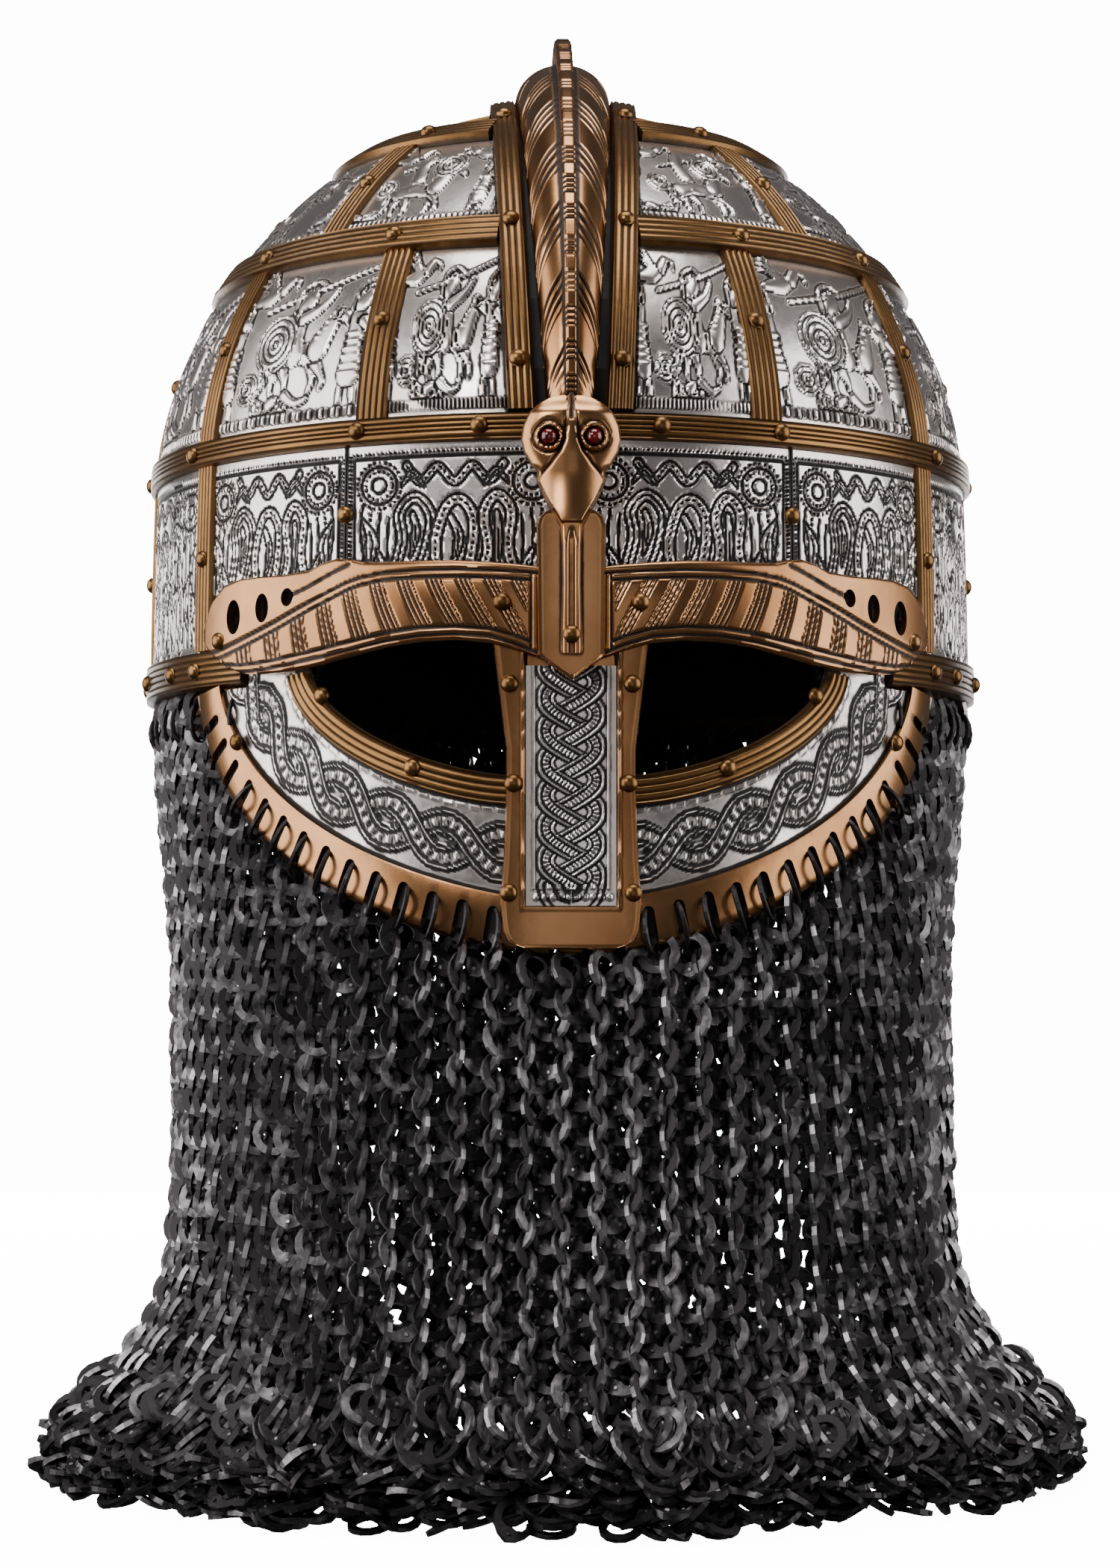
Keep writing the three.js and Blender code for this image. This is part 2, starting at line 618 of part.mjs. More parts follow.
const headRows = [
  { up: 0, half: 0.2, thick: 0.24, seat: 1 },
  { up: 0.03, half: 0.26, thick: 0.41, seat: 1 },
  { up: 0.5, half: 0.38, thick: 0.41, seat: 1 },
  { up: 0.535, half: 0.4, thick: 0.45, seat: 1 },
  { up: 0.58, half: 0.4, thick: 0.53, seat: 0 },
  { up: 0.64, half: 0.42, thick: 0.61, seat: 0 },
  { up: 0.72, half: 0.76, thick: 0.81, seat: 0 },
  { up: 0.8, half: 0.96, thick: 0.98, seat: 0 },
  { up: 0.87, half: 1, thick: 1, seat: 0 },
  { up: 0.94, half: 0.84, thick: 0.85, seat: 0 },
  { up: 0.985, half: 0.5, thick: 0.53, seat: 0 },
  { up: 1, half: 0.2, thick: 0.33, seat: 0 },
];
const snoutSeat = noseSeat + nosePlateThickness + fit;
const garnetShape = new THREE.SphereGeometry(1, 8, 5);
function garnet(radius) {
  const middle = onFace(garnetPlace, garnetLevel, browSeat + headThickness * 0.86);
  return solidOf(garnetShape.clone().scale(radius, radius, radius).translate(middle.x, middle.y, middle.z));
}
function beastHead() {
  const head = bentBlock([6, headRows.length - 1, 1], (a, b, c) => {
    const half = headHalf * rowAt(headRows, "half", b);
    const seat = mix(browSeat, snoutSeat, rowAt(headRows, "seat", b));
    const thick = headThickness * rowAt(headRows, "thick", b);
    const round = Math.sqrt(1 - 0.72 * mix(-1, 1, a) ** 2);
    const height = mix(snoutFoot, headTop, rowAt(headRows, "up", b));
    return onFace(mix(-half, half, a), height, seat + thick * round * c);
  });
  const pit = garnet(garnetRadius + fit);
  return head.subtract(pit).subtract(mirrored(pit));
}
add("beast_head", beastHead(), "bronze");
addPair("garnet", garnet(garnetRadius), "garnet");

// Rail inside the rim for the mail of the sides and the nape.
const railOuter = -skullWall - 2 * fit;
const railInner = railOuter - railThickness;
const railTop = railHeight - railDrop;
const railOutline = [
  [railOuter, railTop],
  [railOuter, -railDrop],
  [railInner, -railDrop],
  [railInner, railTop],
];
const railSpan = 360 - 2 * railEnd;
const mailRail = drawnAlong(railOutline, railSpan / turnStep, (out, height, share) =>
  onSkull(railEnd + railSpan * share, height, out));
add("mail_rail", mailRail, "brass");

// Mail curtain: a woven wall that hangs from the guard's edge and the rail and spreads on the ground.
// down is a share of the drop, side and front shares of their offsets, and spread of the hem's spread.
const mailRows = [
  { down: 0.05, side: 0.3, front: 0.5, spread: 0, thick: 1 },
  { down: 0.12, side: 0.5, front: 0.8, spread: 0, thick: 1 },
  { down: 0.3, side: 1, front: 1, spread: 0, thick: 1 },
  { down: 0.52, side: 1.08, front: 1, spread: 0, thick: 1 },
  { down: 0.7, side: 1, front: 1, spread: 0.02, thick: 1 },
  { down: 0.79, side: 0.8, front: 1, spread: 0.1, thick: 1.05 },
  { down: 0.87, side: 0.6, front: 1, spread: 0.27, thick: 1.1 },
  { down: 0.925, side: 0.4, front: 1, spread: 0.45, thick: 1.15 },
  { down: 0.965, side: 0.2, front: 1, spread: 0.68, thick: 1.2 },
  { down: 0.984, side: 0, front: 1, spread: 1, thick: 1.28 },
];
function mailTop(turn) {
  const across = radians(Math.min(turn, 360 - turn)) * faceRadius;
  const edge = foldRound + fit;
  const share = Math.min(across / (guardHalf + edge), 1);
  const guard = -(guardDrop + edge) * (1 - share ** guardFullness) ** (1 / guardFullness);
  return Math.min(guard - mailHang, -railDrop - fit);
}
function mailMiddle(turn, place) {
  const row = (column) => along(mailRows, "down", place, column);
  const frontness = clamp(Math.cos(radians(turn)) * 1.6 - 0.5, 0, 1);
  const hang = mix(-mailSideIn * row("side"), mailFrontOut * row("front"), frontness);
  const ripple = Math.sin(radians(turn) * 9) * foldDepth * clamp(place * 2 - 0.5, 0, 1);
  const wave = (Math.sin(radians(turn) * 5 + 1) + 0.6 * Math.sin(radians(turn) * 8)) * hemWave;
  const endSpread = turn < 90 || turn > 270 ? hemFrontSpread : hemRearSpread;
  const hemSpread = mix(hemSideSpread, endSpread, Math.cos(radians(turn)) ** 2);
  return { out: hang + ripple + row("spread") * (hemSpread + wave), height: -mailDrop * place };
}
const mailTurns = 44;
const mailLevels = 8;
function mailCurtain() {
  const outline = [];
  for (let i = 0; i <= mailLevels; i++) outline.push([1, i / mailLevels]);
  for (let i = mailLevels; i >= 0; i--) outline.push([-1, i / mailLevels]);
  const corner = (side, level, share) => {
    const turn = 360 * share;
    const place = mix(-mailTop(turn) / mailDrop, mailRows.at(-1).down, level ** 0.8);
    const here = mailMiddle(turn, place);
    const above = mailMiddle(turn, Math.max(place - 0.02, 0));
    const below = mailMiddle(turn, Math.min(place + 0.02, mailRows.at(-1).down));
    const lean = new THREE.Vector2(below.out - above.out, below.height - above.height).normalize();
    const half = (mailThickness / 2) * along(mailRows, "down", place, "thick");
    const out = here.out - lean.y * side * half;
    const height = Math.max(here.height + lean.x * side * half, -mailDrop);
    return onSkull(turn, 0, out).setZ(height);
  };
  return drawnAlong(outline, mailTurns, (x, y, share) => corner(x, y, share === 1 ? 0 : share));
}
add("mail_curtain", mailCurtain(), "mail");

helmet.position.z = -headRoom;

export default helmet;
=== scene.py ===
import math

import bmesh
import bpy
import numpy as np
from mathutils import Matrix, Vector


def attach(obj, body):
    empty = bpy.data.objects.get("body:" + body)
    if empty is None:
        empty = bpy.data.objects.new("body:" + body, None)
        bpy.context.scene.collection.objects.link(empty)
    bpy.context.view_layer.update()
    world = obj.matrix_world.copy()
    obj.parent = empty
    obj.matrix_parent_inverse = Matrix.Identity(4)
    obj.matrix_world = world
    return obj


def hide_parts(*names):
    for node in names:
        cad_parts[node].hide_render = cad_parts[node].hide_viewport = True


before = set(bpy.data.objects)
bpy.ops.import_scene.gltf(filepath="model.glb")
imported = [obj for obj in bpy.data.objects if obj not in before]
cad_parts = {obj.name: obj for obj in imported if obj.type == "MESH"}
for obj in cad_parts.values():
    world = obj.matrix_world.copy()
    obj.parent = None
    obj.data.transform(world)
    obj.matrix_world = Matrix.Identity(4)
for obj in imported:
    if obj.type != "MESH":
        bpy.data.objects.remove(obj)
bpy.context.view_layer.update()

mm = 0.001


# The skull's own shape, the same as the bowl's. Heights count from its rim, sizes are metres.
skull = {
    "halfWidth": 0.1048,
    "halfLength": 0.1186,
    "upright": 0.057,
    "dome": 0.0988,
    "fullness": 1.745,
    "taper": 0.01,
    "rim": -0.1542,
}
faceRadius = (skull["halfWidth"] + skull["halfLength"]) / 2
domeArc = math.pi / 4 * (skull["dome"] + skull["halfWidth"])


def mix(a, b, share):
    return a + (b - a) * share


def smooth(low, high, value):
    share = np.clip((value - low) / (high - low), 0, 1)
    return share * share * (3 - 2 * share)


def riseOf(height):
    return np.clip((height - skull["upright"]) / skull["dome"], 0, 1)


def skullShare(height):
    drawn = 1 - skull["taper"] * np.clip(height / skull["upright"], 0, 1) ** 2
    return drawn * np.sqrt(1 - riseOf(height) ** skull["fullness"])


def outwardAt(x, y, z):  # the way straight out of the skull, with z counted from its rim
    lean = skull["fullness"] * riseOf(z) ** (skull["fullness"] - 1) / skull["dome"]
    halves = [skull["halfWidth"] * (1 - skull["taper"]), skull["halfLength"] * (1 - skull["taper"])]
    way = np.stack([2 * x / halves[0] ** 2, 2 * y / halves[1] ** 2, lean + 0 * x], -1)
    return way / np.linalg.norm(way, axis=-1, keepdims=True)


def lifted(x, y, z, out):
    x, y, z, out = np.broadcast_arrays(x, y, z, out)
    point = np.stack([x, y, z], -1) + outwardAt(x, y, z) * out[..., None]
    return point + [0, 0, skull["rim"]]


def outwardOf(point):
    return outwardAt(point[..., 0], point[..., 1], point[..., 2] - skull["rim"])


def standing(point):  # a matrix that stands a shape on the skull at this point
    out = Vector(outwardOf(point))
    return Matrix.Translation(Vector(point)) @ out.to_track_quat("Z", "Y").to_matrix().to_4x4()


def onSkull(turn, height, out):  # turn is degrees from the nose towards +X
    share = skullShare(height)
    x = skull["halfWidth"] * share * np.sin(np.radians(turn))
    y = -skull["halfLength"] * share * np.cos(np.radians(turn))
    return lifted(x, y, height, out)


def onFace(across, height, out):
    return onSkull(np.degrees(across / faceRadius), height, out)


def overDome(side, angle, out):  # angle runs from the brow, 0, over the crown to the nape, 180
    taper = 1 - skull["taper"]
    room = 1 - (side / (skull["halfWidth"] * taper)) ** 2
    y = -skull["halfLength"] * taper * np.sqrt(room) * np.cos(np.radians(angle))
    rise = (room * np.sin(np.radians(angle)) ** 2) ** (1 / skull["fullness"])
    return lifted(side + 0 * y, y, skull["upright"] + skull["dome"] * rise, out)


def angleAt(height):
    return np.degrees(np.arcsin(riseOf(height) ** (skull["fullness"] / 2)))


def climbOf(height):  # length up the side of the skull
    return np.where(height < skull["upright"], height, skull["upright"] + domeArc * angleAt(height) / 90)


def heightOf(climb):
    angle = np.radians(np.clip((climb - skull["upright"]) / domeArc * 90, 0, 90))
    dome = skull["upright"] + skull["dome"] * np.sin(angle) ** (2 / skull["fullness"])
    return np.where(climb < skull["upright"], climb, dome)


def radiusAt(turn, height):  # length of one radian of turn
    x = skull["halfWidth"] * np.cos(np.radians(turn))
    y = skull["halfLength"] * np.sin(np.radians(turn))
    return skullShare(height) * np.hypot(x, y)


# Meshes
def newGrid(columns, rows):
    bm = bmesh.new()
    bmesh.ops.create_grid(bm, x_segments=int(columns), y_segments=int(rows), size=0.5)
    places = np.array([vert.co[:2] for vert in bm.verts]) + 0.5
    shape = (int(rows) + 1, int(columns) + 1)
    return bm, places[:, 0].reshape(shape), places[:, 1].reshape(shape)


def shares(size):  # shares across and up a sheet, at the places where newGrid has its points
    return np.meshgrid(np.linspace(0, 1, size[0] + 1), np.linspace(0, 1, size[1] + 1))


def boundary(bm):
    return [edge for edge in bm.edges if edge.is_boundary]


def moveVerts(bm, points):
    for vert, point in zip(bm.verts, points.reshape(-1, 3)):
        vert.co = point


def markVerts(bm, name, values):
    layer = bm.verts.layers.float.get(name) or bm.verts.layers.float.new(name)
    for vert, value in zip(bm.verts, np.ravel(values)):
        vert[layer] = value


def closeTube(bm):  # joins a rolled grid's long seam and caps its ends
    bmesh.ops.remove_doubles(bm, verts=bm.verts, dist=0.00001)
    bmesh.ops.holes_fill(bm, edges=boundary(bm), sides=0)
    bmesh.ops.recalc_face_normals(bm, faces=bm.faces)


def addPiece(bm, name, finish, nodes=(), sharp=40):
    mesh = bpy.data.meshes.new(name)
    for face in bm.faces:
        face.smooth = True
    for edge in bm.edges:
        if len(edge.link_faces) == 2 and edge.calc_face_angle(0) > math.radians(sharp):
            edge.smooth = False
    bm.to_mesh(mesh)
    bm.free()
    piece = bpy.data.objects.new(name, mesh)
    bpy.context.scene.collection.objects.link(piece)
    mesh.materials.append(finishes[finish])
    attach(piece, "root")
    if nodes:
        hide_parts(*nodes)
    return piece


# Shader maths: a wire wraps a socket, and an expression on wires adds the nodes.
class Wire:
    def __init__(self, tree, socket=None):
        self.tree = tree
        self.socket = socket

    def node(self, kind, settings=None, values=None, output=0):
        made = self.tree.nodes.new("ShaderNode" + kind)
        for key, value in (settings or {}).items():
            setattr(made, key, value)
        for key, value in (values or {}).items():
            if isinstance(value, Wire):
                self.tree.links.new(value.socket, made.inputs[key])
            else:
                made.inputs[key].default_value = value
        return Wire(self.tree, made.outputs[output])

    def maths(self, operation, a, b=0.0):
        return self.node("Math", {"operation": operation}, {0: a, 1: b})

    def __add__(self, other):
        return self.maths("ADD", self, other)

    def __radd__(self, other):
        return self.maths("ADD", other, self)

    def __sub__(self, other):
        return self.maths("SUBTRACT", self, other)

    def __rsub__(self, other):
        return self.maths("SUBTRACT", other, self)

    def __mul__(self, other):
        return self.maths("MULTIPLY", self, other)

    def __rmul__(self, other):
        return self.maths("MULTIPLY", other, self)

    def smooth(self, low, high):
        settings = {"interpolation_type": "SMOOTHSTEP", "clamp": True}
        return self.node("MapRange", settings, {0: self, 1: low, 2: high})

    def paint(self, under, over):  # a colour mixed by this mask
        settings = {"data_type": "RGBA", "clamp_factor": True}
        return self.node("Mix", settings, {0: self, 6: under, 7: over}, 2)

    def noise(self, scale, detail=3.0, place=None):
        place = place or self.node("TexCoord", output=3)
        return self.node("TexNoise", None, {"Vector": place, "Scale": scale, "Detail": detail})

    def streaks(self, scale, stretch):  # noise drawn out along one axis
        place = self.node("Mapping", None, {0: self.node("TexCoord", output=3), 3: stretch})
        return self.noise(scale, 4.0, place)

    def mark(self, name):
        return self.node("Attribute", {"attribute_name": name}, output=2)

    def bump(self, height, distance, strength=1.0):
        return self.node("Bump", None, {"Height": height, "Distance": distance, "Strength": strength})


def newFinish(name, build, **shaderValues):
    material = bpy.data.materials.new(name)
    material.use_nodes = True
    tree = material.node_tree
    shader = tree.nodes["Principled BSDF"]
    for key, value in shaderValues.items():
        shader.inputs[key.replace("_", " ")].default_value = value
    for key, wire in build(Wire(tree)).items():
        tree.links.new(wire.socket, shader.inputs[key])
    return material


def tone(r, g, b):
    return (r, g, b, 1.0)


def blackIron(wire):
    cloud = wire.noise(60.0)
    grain = wire.noise(900.0, 2.0)
    return {
        "Base Color": cloud.smooth(0.35, 0.7).paint(tone(0.010, 0.009, 0.009), tone(0.028, 0.024, 0.022)),
        "Roughness": 0.5 + 0.25 * cloud,
        "Normal": wire.bump(grain + 2.0 * cloud, 0.0001, 0.5),
    }


def tinnedFoil(wire):
    cavity = wire.mark("cavity")
    cloud = wire.noise(45.0)
    speck = wire.noise(420.0, 3.0)
    # painted shade: the cavity mark darkens the hollows, ridge feet, panel edges and foil under other parts;
    # it also carries the engraved lines
    dark = (cavity * 1.25 + (speck - 0.5) * 0.5 + (cloud - 0.5) * 0.3).smooth(0.2, 0.75)
    metal = cloud.smooth(0.3, 0.75).paint(tone(0.70, 0.63, 0.59), tone(0.55, 0.48, 0.445))
    return {
        "Base Color": dark.paint(metal, tone(0.012, 0.009, 0.008)),
        "Roughness": 0.16 + 0.16 * cloud + 0.08 * speck + 0.3 * dark,
        "Metallic": 1.0 - 0.5 * dark,
        "Normal": wire.bump(wire.noise(260.0, 4.0) + 0.4 * speck, 0.00012, 0.45),
    }


def reededBrass(wire):
    cavity = wire.mark("cavity")
    cloud = wire.noise(38.0, 4.0)
    speck = wire.noise(500.0, 3.0)
    scratch = wire.streaks(90.0, (1.0, 1.0, 14.0))
    stain = wire.noise(16.0).smooth(0.5, 0.75) * speck.smooth(0.35, 0.7)
    # painted shade: the cavity mark darkens the reed grooves, the band feet and the rivet feet
    dark = (cavity * 1.15 + (speck - 0.5) * 0.45 + (cloud - 0.5) * 0.5).smooth(0.3, 0.95)
    metal = cloud.smooth(0.35, 0.7).paint(tone(0.225, 0.114, 0.041), tone(0.125, 0.060, 0.022))
    metal = (stain * 0.7).paint(metal, tone(0.07, 0.037, 0.016))
    return {
        "Base Color": dark.paint(metal, tone(0.045, 0.026, 0.012)),
        "Roughness": 0.2 + 0.18 * cloud + 0.1 * scratch + 0.25 * dark,
        "Metallic": 1.0 - 0.35 * dark,
        "Normal": wire.bump(speck + 0.6 * scratch, 0.0001, 0.4),
    }


def warmBronze(wire):
    cavity = wire.mark("cavity")
    cloud = wire.noise(30.0, 4.0)
    speck = wire.noise(380.0, 3.0)
    # painted shade: the cavity mark darkens the cuts, notches, grooves and the feet of the parts
    dark = (cavity * 1.3 + (speck - 0.5) * 0.35 + (cloud - 0.5) * 0.25).smooth(0.25, 0.8)
    metal = cloud.smooth(0.35, 0.72).paint(tone(0.43, 0.214, 0.094), tone(0.27, 0.122, 0.049))
    return {
        "Base Color": dark.paint(metal, tone(0.020, 0.012, 0.009)),
        "Roughness": 0.17 + 0.16 * cloud + 0.3 * dark,
        "Metallic": 1.0 - 0.45 * dark,
        "Normal": wire.bump(wire.noise(140.0, 3.0) + 0.3 * speck, 0.00014, 0.4),
    }


def blackenedMail(wire):
    toneAndShade = wire.mark("tone")
    edge = wire.mark("edge")
    cloud = wire.noise(300.0, 3.0)
    # random wear from the noise and tone, plus painted shade (the heap's darker tone mark) and a painted
    # highlight (the edge mark on rims and rivets)
    wearShadeAndSheen = (cloud * 0.7 + toneAndShade * 0.35 + edge * 0.3).smooth(0.5, 1.0)
    return {
        "Base Color": wearShadeAndSheen.paint(tone(0.026, 0.023, 0.024), tone(0.36, 0.34, 0.345)),
        "Roughness": 0.36 + 0.25 * cloud - 0.12 * edge,
        "Normal": wire.bump(wire.noise(1500.0, 2.0), 0.00008, 0.5),
    }


def redGarnet(wire):
    depth = wire.noise(700.0, 2.0)
    return {"Base Color": depth.smooth(0.3, 0.8).paint(tone(0.05, 0.001, 0.001), tone(0.2, 0.003, 0.004))}


finishes = {
    "iron": newFinish("black_iron", blackIron, Metallic=0.7),
    "tinned_foil": newFinish("tinned_foil", tinnedFoil),
    "brass": newFinish("reeded_brass", reededBrass),
    "bronze": newFinish("warm_bronze", warmBronze),
    "garnet": newFinish("red_garnet", redGarnet, Roughness=0.08, Coat_Weight=0.6),
    "mail": newFinish("blackened_mail", blackenedMail, Metallic=0.85),
}
slotOf = {"iron": ["skull_bowl"], "garnet": ["garnet_right", "garnet_left"], "mail": ["mail_curtain"]}
slotOf["brass"] = [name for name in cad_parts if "band" in name or "strip" in name or "eye_rim" in name]
slotOf["brass"] += ["mail_rail"]
slotOf["tinned_foil"] = [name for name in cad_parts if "foil" in name] + ["guard_plate", "nasal_panel"]
slotOf["bronze"] = ["crest", "comb", "guard_channel", "nasal_frame", "eyebrow_right", "eyebrow_left"]
slotOf["bronze"] += ["nose_plate", "beast_head"]
for slotName, names in slotOf.items():
    for name in names:
        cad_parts[name].data.materials.clear()
        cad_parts[name].data.materials.append(finishes[slotName])
print("finishes made")


# Bands: a reeded section swept over the skull
band = {
    "foot": 1.05 * mm,
    "groove": 0.42 * mm,
    "edge": 0.7 * mm,
    "bevel": 0.25 * mm,
    "bevelDrop": 0.1 * mm,
    "flare": 0.35 * mm,
    "hoopTop": 3.45 * mm,
    "stripTop": 2.5 * mm,
    "crestTop": 3.3 * mm,
    "rimTop": 3.35 * mm,
    "rimFoot": 0.2 * mm,
}


def reedSection(width, reeds, top, foot):  # rows of place across, height and cavity, the painted shade at the grooves and the foot
    half = width / 2
    flat = half - band["edge"]
    side = [
        (half - band["bevel"], top - band["bevelDrop"], 0),
        (half, mix(foot, top, 0.6), 0.35),
        (half + band["flare"], foot, 1.0),
    ]
    rows = [(-across, out, shade) for across, out, shade in reversed(side)]
    for reed in range(reeds):
        for part in range(6):
            share = part / 6
            across = mix(-flat, flat, (reed + share) / reeds)
            swell = math.sin(math.pi * share) ** 0.5
            rows.append((across, top - band["groove"] * (1 - swell), 0.85 * (1 - swell) ** 0.7))
    rows.append((flat, top - band["groove"], 1.0))
    return np.array(rows + side)


def sweepBand(bm, section, columns, place):
    strip, u, v = newGrid(columns, len(section))
    ring = np.vstack([section, section[:1]])
    row = np.rint(v * len(section)).astype(int)
    moveVerts(strip, place(u, ring[row, 0], ring[row, 1]))
    markVerts(strip, "cavity", ring[row, 2])
    closeTube(strip)
    mesh = bpy.data.meshes.new("swept")
    strip.to_mesh(mesh)
    strip.free()
    bm.from_mesh(mesh)
    bpy.data.meshes.remove(mesh)


tiers = {
    "bandWidth": 8.3 * mm,
    "stripWidth": 8.0 * mm,
    "crestBandWidth": 6.0 * mm,
    "rimWidth": 9.0 * mm,
    "brow": 58.1 * mm,
    "middle": 106.8 * mm,
    "upper": 138.8 * mm,
    "browTurn": 26.5,
    "cheekTurn": 56.7,
    "upperTurn": 42.0,
    "rimTurn": 47,
    "stripFoot": 9.3 * mm,
    "sideTop": 154.0 * mm,
    "crestBandFoot": 11.0 * mm,
    "crestBandCrown": 15.2 * mm,
    "crestBandStart": 4,
}


def crestBandLine(angle):
    return mix(tiers["crestBandFoot"], tiers["crestBandCrown"], np.sin(np.radians(angle)))


def besideCrest(distance, height):
    side = crestBandLine(angleAt(height)) + distance
    return np.degrees(np.arcsin(np.clip(side / (skull["halfWidth"] * skullShare(height)), -1, 1)))


def hoopPlace(start, end, centre):
    climb = climbOf(centre)
    return lambda u, s, out: onSkull(mix(start, end, u), heightOf(climb + s), out)


def stripPlace(turn, low, high):
    ends = climbOf(low), climbOf(high)

    def place(u, s, out):
        height = heightOf(mix(ends[0], ends[1], u))
        return onSkull(turn + np.degrees(s / radiusAt(turn, height)), height, out)
    return place


def reededPiece(name, section, columns, place, nodes):
    bm = bmesh.new()
    sweepBand(bm, section, columns, place)
    return addPiece(bm, name, "brass", nodes, 60)


hoopSection = reedSection(tiers["bandWidth"], 4, band["hoopTop"], band["foot"])
stripSection = reedSection(tiers["stripWidth"], 4, band["stripTop"], band["foot"])
crestSection = reedSection(tiers["crestBandWidth"], 3, band["crestTop"], band["foot"])
rimSection = reedSection(tiers["rimWidth"], 5, band["rimTop"], band["rimFoot"])
sides = {"right": 1, "left": -1}


def crestPlace(sign):
    def place(u, s, out):
        angle = mix(tiers["crestBandStart"], 180 - tiers["crestBandStart"], u)
        return overDome(sign * (crestBandLine(angle) + s), angle, out)
    return place


def makeBands():
    reededPiece("brow_hoop", hoopSection, 220, hoopPlace(0, 360, tiers["brow"]), ["brow_band"])
    rimPlace = hoopPlace(tiers["rimTurn"], 360 - tiers["rimTurn"], tiers["rimWidth"] / 2)
    reededPiece("rim_hoop", rimSection, 190, rimPlace, ["rim_band"])
    for side, sign in sides.items():
        for tier in ("middle", "upper"):
            start = float(besideCrest(tiers["crestBandWidth"] / 2, tiers[tier]))
            place = hoopPlace(sign * start, sign * (180 - start), tiers[tier])
            reededPiece(f"{tier}_hoop_{side}", hoopSection, 90, place, [f"{tier}_band_{side}"])
        reededPiece(f"crest_side_{side}", crestSection, 150, crestPlace(sign), [f"crest_band_{side}"])
        strips = [  # name, turn, foot, top and steps along it
            ("cheek_strip", tiers["cheekTurn"], tiers["stripFoot"], tiers["middle"], 34),
            ("side_strip", 90, tiers["stripFoot"], tiers["sideTop"], 60),
            ("nape_strip", 180 - tiers["cheekTurn"], tiers["stripFoot"], tiers["middle"], 34),
            ("brow_strip", tiers["browTurn"], tiers["brow"], tiers["middle"], 22),
            ("rear_strip", 180 - tiers["browTurn"], tiers["brow"], tiers["middle"], 22),
            ("upper_strip_front", tiers["upperTurn"], tiers["middle"], tiers["upper"], 20),
            ("upper_strip_rear", 180 - tiers["upperTurn"], tiers["middle"], tiers["upper"], 20),
        ]
        for name, turn, low, high, columns in strips:
            place = stripPlace(sign * turn, low, high)
            reededPiece(f"reeded_{name}_{side}", stripSection, columns, place, [f"{name}_{side}"])
    print("bands made")


makeBands()


# Pressed work: heights in millimetres over a sheet's ground, at places in millimetres
def smoothLine(points, steps=6):  # a rounded line through a few points
    p = np.array([points[0], *points, points[-1]], float)
    t = np.linspace(0, 1, steps, endpoint=False)[:, None]
    spans = []
    for a, b, c, d in zip(p, p[1:], p[2:], p[3:]):
        bends = (2 * a - 5 * b + 4 * c - d) * t ** 2 + (3 * b - a - 3 * c + d) * t ** 3
        spans.append(0.5 * (2 * b + (c - a) * t + bends))
    return np.vstack([*spans, p[-1:]])


def dashed(along, dash):  # 1 on a line's dashes, and all along it where dash is 0
    return along % dash < 0.55 * dash if dash else 1


